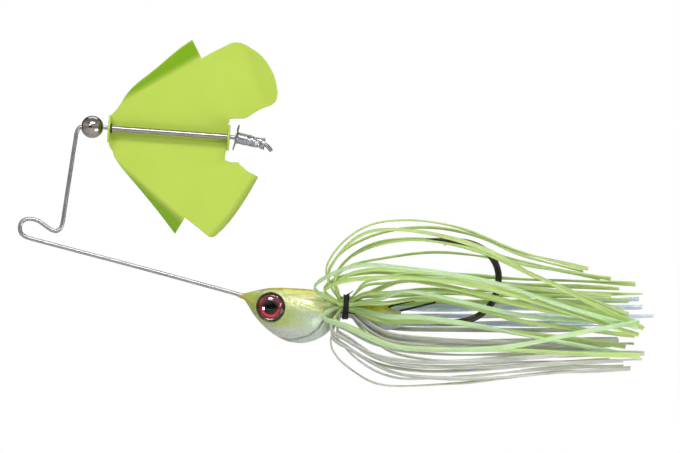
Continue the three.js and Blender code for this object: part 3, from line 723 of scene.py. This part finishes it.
def flat_sheet():
    """The blade cut out flat, with close rows of points across its tight bends: places, triangles."""
    edge = []
    for p in blade_outline():
        if not edge or (p - edge[-1]).length > 0.06:
            edge.append(p)
    loops = [edge]
    for bend in (FRONT_EAR, REAR_EAR):
        foot, across, _ = bend.locate(Vector((bend.line[0].x, 0)))
        centre = foot + across * (PANEL_BACK - bend.radius + bend.arc)
        loops.append([centre + Vector(spoke) * EAR_HOLE for spoke in circle(HOLE_SIDES)])
    outline, *rims = (np.array([tuple(p) for p in loop]) for loop in loops)
    rows = []
    for bend in (UPPER_FLAP, LOWER_FLAP, FRONT_EAR, REAR_EAR):
        a, b = bend.line
        across = bend.locate(a)[1]
        count = int((b - a).length / GRID)
        for i in range(-1, 7):
            shift = across * bend.arc * i / 5
            rows += [tuple(a.lerp(b, (j + 0.5) / count) + shift) for j in range(count)]
    rows = np.array(rows)
    rows = clear_of(rows[inside(rows, outline)], np.vstack([outline, *rims]), 0.13)
    (left, bottom), (right, top) = outline.min(0), outline.max(0)
    grid = []
    for j in range(int((top - bottom) / GRID_ROW) + 1):
        for i in range(int((right - left) / GRID) + 1):
            grid.append((left + (i + 0.5 * (j % 2)) * GRID, bottom + j * GRID_ROW))
    grid = np.array(grid)
    grid = clear_of(grid[inside(grid, outline)], np.vstack([outline, *rims, rows]), 0.3)
    spots, borders = [], []
    for loop in loops:
        first, count = len(spots), len(loop)
        borders += [(first + i, first + (i + 1) % count) for i in range(count)]
        spots += loop
    spots += [Vector(p) for p in [*rows, *grid]]
    spots, _, triangles, *_ = delaunay_2d_cdt(spots, borders, [], 0, 1e-5)
    middles = np.array([tuple(sum((spots[i] for i in t), Vector((0, 0))) / 3) for t in triangles])
    kept = inside(middles, outline)
    for rim in rims:
        kept &= ~inside(middles, rim)
    return spots, [t for t, keep in zip(triangles, kept) if keep]


def bent_place(place):
    """A place of the flat sheet on the finished blade, in the shaft's frame."""
    depth = 0.0
    for bend in BENDS:
        place, turned_away = bend.bent(place)
        depth += turned_away
    return Vector((place.x, PANEL_BACK + depth, place.y))


EDGE_ROUND = 0.13


def thickened(points, grain, triangles, thickness):
    """A sheet of even thickness about triangles, with rounded edges."""
    normals, sides, outward = [Vector() for _ in points], {}, {}
    for t in triangles:
        a, b, c = (points[i] for i in t)
        normal = (b - a).cross(c - a)
        for i, j in zip(t, (*t[1:], t[0])):
            normals[i] += normal
            sides[(i, j)] = normal
    border = [edge for edge in sides if edge[::-1] not in sides]
    for i, j in border:
        out = (points[j] - points[i]).cross(sides[(i, j)]).normalized()
        for k in (i, j):
            outward[k] = outward.get(k, Vector()) + out
    skin = Skin()
    r, turns = EDGE_ROUND, (radians(angle) for angle in (0, 30, 60, 90))
    profile = [(r * sin(a) - r, thickness / 2 - r + r * cos(a)) for a in turns]
    profile += [(inset, -height) for inset, height in reversed(profile)]
    last = len(profile) - 1
    index = {}

    def corner(i, level):
        if (i, level) not in index:
            inset, height = profile[level]
            shift = outward[i].normalized() * inset if i in outward else Vector()
            index[(i, level)] = len(skin.points)
            skin.points.append(points[i] + shift + normals[i].normalized() * height)
            skin.grain.append(grain[i])
        return index[(i, level)]

    for a, b, c in triangles:
        skin.faces.append([corner(a, 0), corner(b, 0), corner(c, 0)])
        skin.faces.append([corner(c, last), corner(b, last), corner(a, last)])
    for i, j in border:
        for k in range(last):
            skin.faces.append([corner(j, k), corner(i, k), corner(i, k + 1), corner(j, k + 1)])
    return skin


def blade():
    spots, triangles = flat_sheet()
    # The grain's Y carries how far the flaps leave the panel, which drives the painted shade on them.
    grain = [Vector((p.x, UPPER_FLAP.bent(p)[1] + LOWER_FLAP.bent(p)[1], p.y)) for p in spots]
    skin = thickened([bent_place(p) for p in spots], grain, triangles, SHEET).placed(SHAFT)
    piece("two_wing_blade", skin, blade_paint(), "blade_paint", "blade", body="blade")


# -------- head, eyes, keepers, hook
# Stations along the casting: x, top, bottom, half width. The first two hug the wire's underside.
HEAD_STATIONS = [
    (45.3, -13.62, -14.22, 0.26), (46.3, -13.72, -14.72, 0.42), (47.1, -13.72, -15.05, 0.66),
    (47.7, -13.6, -15.9, 1.1), (49.2, -13.25, -18.3, 2.15), (51, -12.85, -20.4, 3.05),
    (53, -12.6, -22.1, 3.75), (55.1, -12.55, -23.35, 4.2), (57, -12.65, -24, 4.45),
    (59, -12.75, -24.2, 4.5), (61, -12.9, -23.9, 4.4), (63.2, -13.35, -23, 3.75),
    (64.9, -14, -21.7, 2.7), (65.7, -14.6, -20, 2.1), (66.25, -15, -18.5, 1.65),
    (66.6, -15.1, -18.1, 1.5), (69.8, -15.1, -18.1, 1.5), (71.2, -15, -19, 2),
    (73.2, -15.25, -20.4, 2.7), (75.4, -15.65, -21.5, 2.95), (77.2, -16.4, -21.5, 2.6),
    (78.8, -17.2, -21.15, 2.1), (80.05, -17.4, -20.8, 1.7),
]
GILL = [(54.7, -23.15), (56.4, -23.62), (58.8, -23.2), (60.7, -22.6), (62.5, -21.4), (64.3, -18.9)]
CHEEK = [(55.8, -15.1), (58.8, -15.75), (61.0, -16.6), (62.9, -17.3), (64.6, -17.9)]
STREAKS = [
    [(56.0, -14.35), (59.0, -14.75), (62.0, -15.6), (64.4, -16.5)],
    [(56.4, -13.75), (59.4, -14.0), (62.4, -14.7), (64.6, -15.5)],
]


def near_line(x, z, line):
    """How far places (x, z) are from a line of points, and on which side (+1 above or ahead)."""
    best, side = np.full(x.shape, 1e9), np.ones(x.shape)
    for (x0, z0), (x1, z1) in zip(line, line[1:]):
        dx, dz, px, pz = x1 - x0, z1 - z0, x - x0, z - z0
        t = np.clip((px * dx + pz * dz) / (dx * dx + dz * dz), 0, 1)
        gap = np.hypot(px - t * dx, pz - t * dz)
        side = np.where(gap < best, np.sign(pz * dx - px * dz), side)
        best = np.minimum(gap, best)
    return best, side


def bell(gap, width):
    return np.exp(-((gap / width) ** 2))


def eye_frame(side):
    """The eye's own frame: +X out of the head. side is -1 for the near eye and 1 for the far one."""
    turn = Matrix.Rotation(side * (pi / 2 + EYE["yaw"]), 4, "Z")
    return Matrix.Translation((EYE["x"], side * EYE["y"], EYE["z"])) @ turn


def seat_eye(points, side):
    """Presses a flat round seat for an eye into the head and raises a soft lip round it."""
    frame_of_eye = np.array(eye_frame(side))
    turn, middle = frame_of_eye[:3, :3], frame_of_eye[:3, 3]
    height, y, z = np.moveaxis((points - middle) @ turn, -1, 0)
    reach = np.hypot(y, z)
    rim = EYE["radius"] + 0.08
    here = (height > -3) & (reach < rim + 1.4)
    snapped = np.where((reach > rim) & (reach < rim + 0.17), rim + 0.03, reach)
    snapped = np.where((reach <= rim) & (reach > rim - 0.17), rim, snapped)
    near = 1 - eased(reach, rim, rim + 1.2)
    lifted = np.maximum(height, mixed(height, 0.3 * near, near))
    scale = snapped / np.maximum(reach, 1e-6)
    moved = np.stack([np.where(reach <= rim, -0.05, lifted), y * scale, z * scale], -1)
    return np.where(here[..., None], moved @ turn.T + middle, points)


def head():
    """The cast head, neck and keeper in one skin, with its gill groove, cheek lines and eye seats."""
    x, top, bottom, half = (np.array(column) for column in zip(*HEAD_STATIONS))
    runs = [np.arange(45.3, 47, 0.1), np.arange(47, 66.6, 0.15), np.arange(66.6, 80, 0.25), [80.05]]
    turns = np.linspace(0, 2 * pi, 150, endpoint=False)
    along, angle = np.meshgrid(np.concatenate(runs), turns, indexing="ij")
    up, near = np.cos(angle), -np.sin(angle)
    high, low, wide = (level(x, values)(along) for values in (top, bottom, half))
    tall = (high - low) / 2
    y, z = wide * near, (high + low) / 2 + tall * up
    flank = eased(np.abs(y), 0.5, 1.3)
    gill, side = near_line(along, z, GILL)
    cheek, _ = near_line(along, z, CHEEK)
    detail = -0.26 * bell(gill, 0.17) - 0.12 * np.where(side < 0, bell(gill, 0.9), 0)
    detail += 0.1 * bell(cheek - 0.2, 0.16) - 0.14 * bell(cheek, 0.12)
    for line in STREAKS:
        detail += 0.06 * bell(near_line(along, z, line)[0], 0.16)
    lift = detail * flank / np.hypot(up / tall, near / wide)
    points = np.stack([along, y + lift * near / wide, z + lift * up / tall], -1)
    middle = points[-1].mean(0)
    points[-1] = middle + (points[-1] - middle) * 0.9
    for eye in (-1, 1):
        points = seat_eye(points, eye)
    skin = Skin().loft([[Vector(p) for p in ring] for ring in points])
    skin.grain = [Vector(p) for p in np.stack([gill, cheek, flank], -1).reshape(-1, 3)]
    piece("cast_head", skin, head_paint(), "head_paint", "head_casting", sharp=50)


def eyes():
    """Foil discs under clear domes. Returns the collection that holds the domes."""
    foil, resin = eye_foil(), eye_clear()
    lenses = bpy.data.collections.new("lenses")
    radius, thick = EYE["radius"], EYE["disc"]
    disc = [(0, 0), (0, radius - 0.06), (0.06, radius), (thick - 0.06, radius), (thick, radius - 0.06)]
    disc += [(thick, radius * i / 8) for i in range(7, -1, -1)]
    base = thick + EYE_GAP
    angles = [pi / 2 * i / 24 for i in range(25)]
    dome = [(base, 0), (base, radius - 0.05), (base + 0.05, radius)]
    dome += [(base + 0.12 + EYE_DOME * sin(a), radius * cos(a)) for a in angles]
    for name, side in (("right", 1), ("left", -1)):
        flat, clear = (turned(outline, 72).placed(eye_frame(side)) for outline in (disc, dome))
        piece(f"foil_{name}", flat, foil, "eye_foil", f"eye_disc_{name}")
        lens = piece(f"lens_{name}", clear, resin, "eye_clear", f"eye_dome_{name}")
        lenses.objects.link(lens)
    return lenses


KEEPER_RADIUS = 0.22
KEEPER_WIRES = {
    "front": places((76.4, -17.3, -0.5), (78.2, -16.3, -0.9), (83.0, -15.2, -1.3)),
    "rear": places((77.0, -17.9, 1.3), (80.4, -17.3, 1.2), (87.4, -15.6, 1.5)),
}


def keeper_wires():
    dark = metal("keeper_black", metallic=0.7)
    for name, line in KEEPER_WIRES.items():
        skin = rod(Skin(), route(line, 0.3), KEEPER_RADIUS, 14)
        piece(f"keeper_{name}", skin, dark, "keeper_black", f"keeper_wire_{name}")


HOOK_ROUTE = [
    *places((59.2, -16.85), (62.5, -16.65), (66, NECK_Z), (69.8, -16.75), (74.5, -17.9), (79.8, -18.8)),
    *places((85, -19.35), (90, -19.85), (93.2, -19.6), (96.4, -18.4), (98.9, -16.1), (100.2, -12.9)),
    *places((100.5, -9.6), (99.6, -6.9), (97.6, -4.7), (94.9, -3.35), (91.6, -2.75), (85.2, -2.2)),
]
TAPER = (92.6, 85.2)  # x at which the point starts to narrow, and its tip
BARB = places((91.2, -2.95), (90.3, -3.15), (88.9, -3.7))


def hook():
    """The hook: its eye inside the head, the shank, a bend, a needle point and a cut barb."""
    line = route(HOOK_ROUTE, 0.3)
    start, tip = TAPER
    radii = []
    for p in line:
        share = max(0.0, p.x - tip) / (start - tip) if p.z > -4 and p.x < start else 1.0
        radii.append(max(0.03, HOOK_RADIUS * share**0.75))
    skin = rod(Skin(), line, radii, 24)
    rod(skin, route(BARB, 0.15), (0.42, 0.03), 12)
    eye = []
    for x, y in circle(48):
        out, up = Vector((x, y, 0)), Vector((0, 0, 1))
        middle = HOOK_EYE + out * HOOK_EYE_RADIUS
        eye.append([middle + (out * c + up * s) * HOOK_EYE_WIRE for c, s in circle(16)])
    skin.loft(eye, looped=True)
    piece("single_hook", skin, metal("black_nickel", drawn=0.05), "black_nickel", "hook")


# -------- thread and skirt
def axis_height(x):
    """Height of the skirt's axis: level through the tie, then falling to the keeper's middle."""
    t = min(1.0, max(0.0, (x - 68) / 10.5))
    return NECK_Z - 2.1 * t**3 * (t * (6 * t - 15) + 10) - 0.6 * max(0.0, x - 78) / 48


def on_skirt(place, turn):
    """A place (x, distance from the skirt's axis) turned round it in degrees: 0 is up, 90 near."""
    x, r = place
    angle = radians(turn)
    return at(x, axis_height(x) + r * cos(angle), -r * sin(angle))


THREAD_RADIUS = 0.12
THREAD_TURNS = 12  # over both layers
TAGS = [
    places((68.7, -14.05, -0.2), (69.3, -13.75, -0.4), (69.95, -13.25, -0.9)),
    places((68.9, -17.6, -2.3), (69.5, -17.9, -2.75), (70.4, -18.0, -3.2)),
]


def tie_thread():
    """Two layers of waxed thread wound round the strands, with its cut ends."""
    line = []
    steps = THREAD_TURNS * 40
    for i in range(steps + 1):
        t = i / steps
        angle = 2 * pi * THREAD_TURNS * t
        x = mixed(TIE["from"] + 0.15, TIE["to"] - 0.15, 2 * t if t < 0.5 else 2 - 2 * t)
        x += 0.2 * cos(angle) + 0.16 * noise.noise(Vector((t * 31, 0.5, 0)))
        r = TIE["radius"] - THREAD_RADIUS - (0.15 if t < 0.5 else 0.0)
        r += 0.06 * noise.noise(Vector((t * 47, 3.5, 1)))
        line.append(at(x, NECK_Z + r * cos(angle), -r * sin(angle)))
    skin = rod(Skin(), line, THREAD_RADIUS, 10)
    for tag in TAGS:
        rod(skin, route(tag, 0.12), (0.14, 0.07), 8)
    piece("thread_winding", skin, thread_black(), "thread", "tie_thread", sharp=60)


# One row for each strand, in order round the neck from straight down, up the far side, over the top and
# down the near side. Angles are in degrees round the skirt's axis, and a place is (x, distance from it).
# The forward leg goes ahead to its front and curls back over its crest to its tip. The rear leg runs back.
# slot, finish, forward: angle, front, crest, tip, tip angle; rear: angle, crest, tip, tip angle
SKIRT = [
    (-11, "pearl", -162, (66.3, 5.4), (84, 10.8), (124, 9), -160, -166, (90, 7.2), (121, 6.4), -166),
    (-10, "pearl", -147, (65.2, 7), (84, 13.6), (127, 10.6), -146, -150, (88, 5.6), (124, 5.2), -150),
    (-9, "pearl", -131, (66.2, 5.2), (83, 10.6), (123, 8.6), -132, -134, (86, 7.4), (126, 6.2), -136),
    (-8, "pearl", -115, (64.3, 6.2), (84, 13.2), (126, 9.6), -116, -118, (90, 5.6), (122, 4.8), -118),
    (-7, "flake", -99, (65.8, 5), (83, 10.2), (128, 7.4), -98, -102, (86, 7), (129, 5.2), -98),
    (-6, "flake", -83, (63.8, 6), (83, 12.8), (130.7, 8.8), -74, -86, (90, 5.2), (133.4, 4.6), -80),
    (-5, "flake", -79, (65.8, 5), (82, 10), (130.4, 8.8), -60, -70, (86, 6.8), (131, 5.8), -62),
    (-4, "lime", -50, (63.6, 6.2), (82, 14), (129.6, 9.6), -38, -54, (90, 5.6), (128, 5), -42),
    (-3, "lime", -34, (65.7, 6.2), (82, 19.8), (122, 9.6), -24, -44, (84, 7.8), (131, 6.8), -36),
    (-2, "lime", -23, (64.4, 7.4), (85, 20.6), (118.4, 10.4), -14, -36, (90, 6.2), (128, 4.6), -20),
    (-1, "lime", -15, (66, 5.6), (87, 14.2), (124.2, 8.8), -8, -25, (86, 9), (126, 6.8), -20),
    (0, "lime", 3, (64.1, 7.6), (82, 20.4), (119.3, 10.6), 6, 22, (86, 8.6), (124, 6.4), 36),
    (1, "lime", 12, (65.9, 5.8), (83, 16.6), (127, 8.4), 80, 25, (83, 10.7), (127.6, 5.8), 76),
    (2, "lime", 22, (64.6, 7), (80, 19.8), (130.5, 10.8), 98, 36, (81, 9.6), (130.4, 6.8), 102),
    (3, "lime", 40, (65.9, 5.4), (80, 12.8), (129, 8.8), 92, 44, (88, 8.2), (128, 4.8), 96),
    (4, "mint", 52, (61.6, 7), (81, 16.8), (129, 12.4), 97, 52, (80, 8.9), (129.4, 3.2), 110),
    (5, "lime", 57, (63.6, 7), (84, 15.2), (129.4, 11.6), 104, 54, (85, 7), (129, 4.2), 140),
    (6, "mint", 114, (63.4, 6.8), (92, 15.8), (129.4, 13.2), 90, 89, (84, 7.6), (129.6, 10.6), 136),
    (7, "lime", 125, (65.8, 5.4), (91, 11.2), (129.8, 11.8), 128, 99, (88, 5.2), (127, 7), 142),
    (8, "pearl", 138, (65, 6.8), (84, 12.4), (125, 9.4), 137, 130, (88, 7), (124, 6), 156),
    (9, "pearl", 147, (66.2, 5.4), (88, 12.4), (130.4, 9.8), 147, 144, (88, 7.4), (131, 7.8), 154),
    (10, "pearl", 154, (65.2, 7), (91, 14), (128, 10.8), 158, 156, (86, 9.6), (126, 7.6), 162),
    (11, "pearl", 168, (66.3, 5.8), (79, 13), (126.7, 9.6), 171, 172, (88, 7.8), (122, 6.8), 174),
    (12, "pearl", 184, (65.1, 8), (75, 14.6), (126.9, 10.4), 184, 188, (88, 5.8), (129, 5), 188),
]
SLOT_ANGLE = 360 / len(SKIRT)
PINCH_HALF = 1.1
TIE_X = (TIE["from"] + TIE["to"]) / 2


def between(p, q, along, out):
    return mixed(p[0], q[0], along), mixed(p[1], q[1], out)


def strand_route(row):
    """The points a strand follows, from the tip of its rear leg to the tip of its forward leg."""
    slot, _, forward, front, crest, tip, tip_angle = row[:7]
    rear, rear_crest, rear_tip, rear_tip_angle = row[7:]
    odd, start, pinch = slot % 2, slot * SLOT_ANGLE, PINCH_HALF + 0.1
    r0 = LAYERS[odd][0]
    front_angle = mixed(start, forward, 0.75)
    rising = between((TIE_X - pinch, r0), front, 0.3 if odd else 0.54, 0.42 if odd else 0.36)
    over_bulb = (76.5, max(3.4, mixed(r0, rear_crest[1], 0.72)) + odd * 0.3)
    eased_out = mixed(r0, over_bulb[1], 0.66)
    before_bulb = max(4.1, eased_out) if odd else min(3.5, eased_out)
    stops = [
        (rear_tip, rear_tip_angle),
        (between(rear_crest, rear_tip, 0.5, 0.5), mixed(rear, rear_tip_angle, 0.5)),
        (rear_crest, rear),
        (over_bulb, mixed(start, rear, 0.6)),
        ((72.4, before_bulb), mixed(start, rear, 0.25)),
        *(((TIE_X + behind, r0), start) for behind in (pinch, 0, -pinch)),
        (rising, mixed(start, forward, 0.4)),
        (front, front_angle),
        (between(front, crest, 0.15, 0.38), mixed(front_angle, forward, 0.5)),
        (between(front, crest, 0.5, 0.82), forward),
        (crest, forward),
        (between(crest, tip, 0.3, 0.17), mixed(forward, tip_angle, 0.14)),
        (between(crest, tip, 0.6, 0.62), mixed(forward, tip_angle, 0.46)),
        (tip, tip_angle),
    ]
    return [on_skirt(*stop) for stop in stops]


def relaxed(line, rounds=14):
    """The line with its corners eased, except under the tie, where the strands are held."""
    for _ in range(rounds):
        middle = []
        for a, b, c in zip(line, line[1:], line[2:]):
            held = abs(b.x - TIE_X) < PINCH_HALF + 0.6
            middle.append(b if held else (a + b * 2 + c) / 4)
        line = [line[0], *middle, line[-1]]
    return line


SECTION = 14  # points round a strand
STRAND_STEP = 0.55
SQUARENESS = 0.45  # 1 is an ellipse, 0 a rectangle


def strand(row, rng):
    """A soft flat strip along its route: rounded edges, a lazy twist and a slight wave, square-cut."""
    line = relaxed(route(strand_route(row), STRAND_STEP))
    phases = [rng.uniform(0, 2 * pi) for _ in range(4)]
    lengths = [rng.uniform(26, 40) for _ in range(2)]
    broad = STRAND_WIDTH * rng.uniform(0.9, 1.06)
    twist = rng.uniform(0.35, 0.85)
    rings, reach, before = [], 0.0, line[0]
    for p, along in zip(line, headings(line)):
        reach += (p - before).length
        before = p
        outward = Vector((0, p.y, p.z - axis_height(p.x)))
        from_tie = abs(p.x - TIE_X)
        freed = float(eased(from_tie, PINCH_HALF + 0.2, PINCH_HALF + 3))
        away = max(freed, float(eased(outward.length, 2.6, 6)))
        across = Vector((1, 0, 0)).cross(outward)
        across = (across - along * across.dot(along)).normalized()
        up = along.cross(across)
        loose = float(eased(from_tie, 8, 34))
        wave = [sin(2 * pi * reach / lengths[k] + phases[k]) for k in range(2)]
        middle = p + (across * wave[0] * 0.12 + up * wave[1] * 0.1) * loose
        roll = twist * loose * sin(2 * pi * reach / 47 + phases[2])
        roll += 0.12 * loose * sin(2 * pi * reach / 19 + phases[3])
        turn = Matrix.Rotation(roll, 3, along)
        across = turn @ across * mixed(LAYERS[row[0] % 2][1], broad, away) / 2
        up = turn @ up * mixed(PINCH_THICKNESS, STRAND_THICKNESS, away) / 2
        ring = []
        for c, s in circle(SECTION):
            u, v = copysign(abs(c) ** SQUARENESS, c), copysign(abs(s) ** SQUARENESS, s)
            ring.append(middle + across * u + up * v)
        rings.append(ring)
    return Skin().loft(rings)


def skirt():
    finishes = {
        "lime": silicone("skirt_lime", (172, 196, 116), (186, 210, 132), (194, 216, 146), 1),
        "mint": silicone("skirt_mint", (174, 206, 154), (188, 218, 168), (198, 224, 180), 2),
        "pearl": silicone("skirt_pearl", (172, 173, 166), (192, 193, 186), (204, 205, 199), 3),
        "flake": skirt_flake(),
    }
    rng = random.Random(7)
    for row in SKIRT:
        name, slot = f"{row[0] + len(SKIRT) // 2:02d}", f"skirt_{row[1]}"
        material = finishes[row[1]].material
        piece(f"strip_{name}", strand(row, rng), material, slot, f"skirt_strand_{name}", sharp=60)


# -------- floor, light and camera
def world():
    """White to the camera and through thin strands, a soft grey room to lit surfaces. Shiny ones see a
    room with a dull horizon, dark behind the lure and dark where a photographer would stand."""
    studio = bpy.data.worlds.new("studio")
    bpy.context.scene.world = studio
    sky = Nodes(studio)
    sky.tree.nodes.clear()
    ray = sky.node("TexCoord").outputs["Generated"]
    axes = sky.axes(ray)
    height = sky.sums("ADD", sky.sums("MULTIPLY", axes["Z"], 0.5), 0.5)
    rays = sky.node("LightPath").outputs

    def shade(colour):
        return sky.node("Background", {"Color": colour}).outputs[0]

    def room(*stops):
        """A grey that depends on height: pairs of height (0 straight down, 1 straight up) and grey."""
        ramp = sky.node("ValToRGB", {"Fac": height})
        while len(ramp.color_ramp.elements) < len(stops):
            ramp.color_ramp.elements.new(1)
        for element, (position, grey) in zip(ramp.color_ramp.elements, stops):
            element.position, element.color = position, (grey, grey, grey, 1)
        return shade(ramp.outputs["Color"])

    def mixed_shaders(factor, a, b):
        return sky.node("MixShader", {0: factor, 1: a, 2: b}).outputs[0]

    shallow = sky.sums("LESS_THAN", rays["Ray Depth"], 2.5)  # in and out of one strand, and no deeper
    through = sky.sums("MULTIPLY", rays["Is Transmission Ray"], shallow)
    white, black = shade((1, 1, 1, 1)), shade((0.015, 0.015, 0.015, 1))
    soft = room((0.4, 0.12), (0.75, 0.33))
    crisp = room((0.25, 0.4), (0.4, 0.6), (0.48, 0.42), (0.55, 0.42), (0.63, 0.72), (0.85, 0.34))
    crisp = mixed_shaders(sky.band(axes["Y"], 0.1, 0.8), crisp, black)
    photographer = sky.vectors("DOT_PRODUCT", ray, (-0.28, -0.96, 0))["Value"]
    crisp = mixed_shaders(sky.band(photographer, 0.94, 0.985), crisp, black)
    shiny = sky.sums("MAXIMUM", rays["Is Glossy Ray"], rays["Is Transmission Ray"])
    seen_white = sky.sums("MAXIMUM", rays["Is Camera Ray"], through)
    sky.node("OutputWorld", {"Surface": mixed_shaders(seen_white, mixed_shaders(shiny, soft, crisp), white)})


def softbox(name, place, size, power, aim, only=None):
    """A rectangular lamp, which may light one collection only."""
    data = bpy.data.lights.new(name, "AREA")
    data.shape = "RECTANGLE"
    data.size, data.size_y = (side * MM for side in size)
    data.energy = power
    lamp = linked(name, data)
    lamp.location = Vector(place) * MM
    lamp.light_linking.receiver_collection = only
    lamp.rotation_euler = (Vector(aim) - Vector(place)).to_track_quat("-Z", "Y").to_euler()


def floor():
    """A plain pale disc well below the lure."""
    mesh = bpy.data.meshes.new("floor")
    spread, height, middle = 1500, -120, 67
    rim = [Vector((middle + spread * c, spread * s, height)) * MM for c, s in circle(96)]
    mesh.from_pydata(rim, [], [range(len(rim))])
    pale = Finish("floor_pale", Roughness=0.8)
    camera_ray = pale.node("LightPath").outputs["Is Camera Ray"]
    pale.feed(
        Base_Color=pale.mix(pale.noise(0.01, 2), (236, 236, 236), (240, 240, 240)),
        Emission_Strength=pale.sums("MULTIPLY", camera_ray, 0.42),
    )
    mesh.materials.append(pale.material)
    linked("floor", mesh)


VIEW_MIDDLE = (67.24, 0.3)  # x and z that the camera looks at
VIEW_WIDTH = 142.8
LENS = 300
SENSOR = 36


def camera():
    """Square to the lure's near side, from far enough for little perspective."""
    data = bpy.data.cameras.new("camera")
    data.lens, data.sensor_width = LENS, SENSOR
    data.clip_start, data.clip_end = 0.05, 20
    made = linked("camera", data)
    made.location = at(*VIEW_MIDDLE, -VIEW_WIDTH * LENS / SENSOR) * MM
    made.rotation_euler = (pi / 2, 0, 0)
    bpy.context.scene.camera = made


EYE_AIM = (EYE["x"], 0, -16)

camera()
wire_form()
bead()
sleeve_and_washer()
rivet()
blade()
head()
lenses = eyes()
keeper_wires()
hook()
tie_thread()
skirt()
floor()
world()
softbox("key", (90, -390, 410), (420, 110), 1.9, (65, 0, 0))
softbox("front", (-254, -755, 366), (150, 110), 1.2, EYE_AIM)
softbox("glint_top", (-205, -700, 320), (230, 150), 2.8, EYE_AIM, lenses)
softbox("glint_left", (-465, -614, -80), (85, 85), 2.6, EYE_AIM, lenses)
softbox("back", (60, 220, 420), (400, 260), 0.5, (65, 0, 0))
softbox("low", (190, -110, -105), (180, 120), 0.2, (105, 0, -18))
bpy.context.scene.view_settings.view_transform = "Standard"
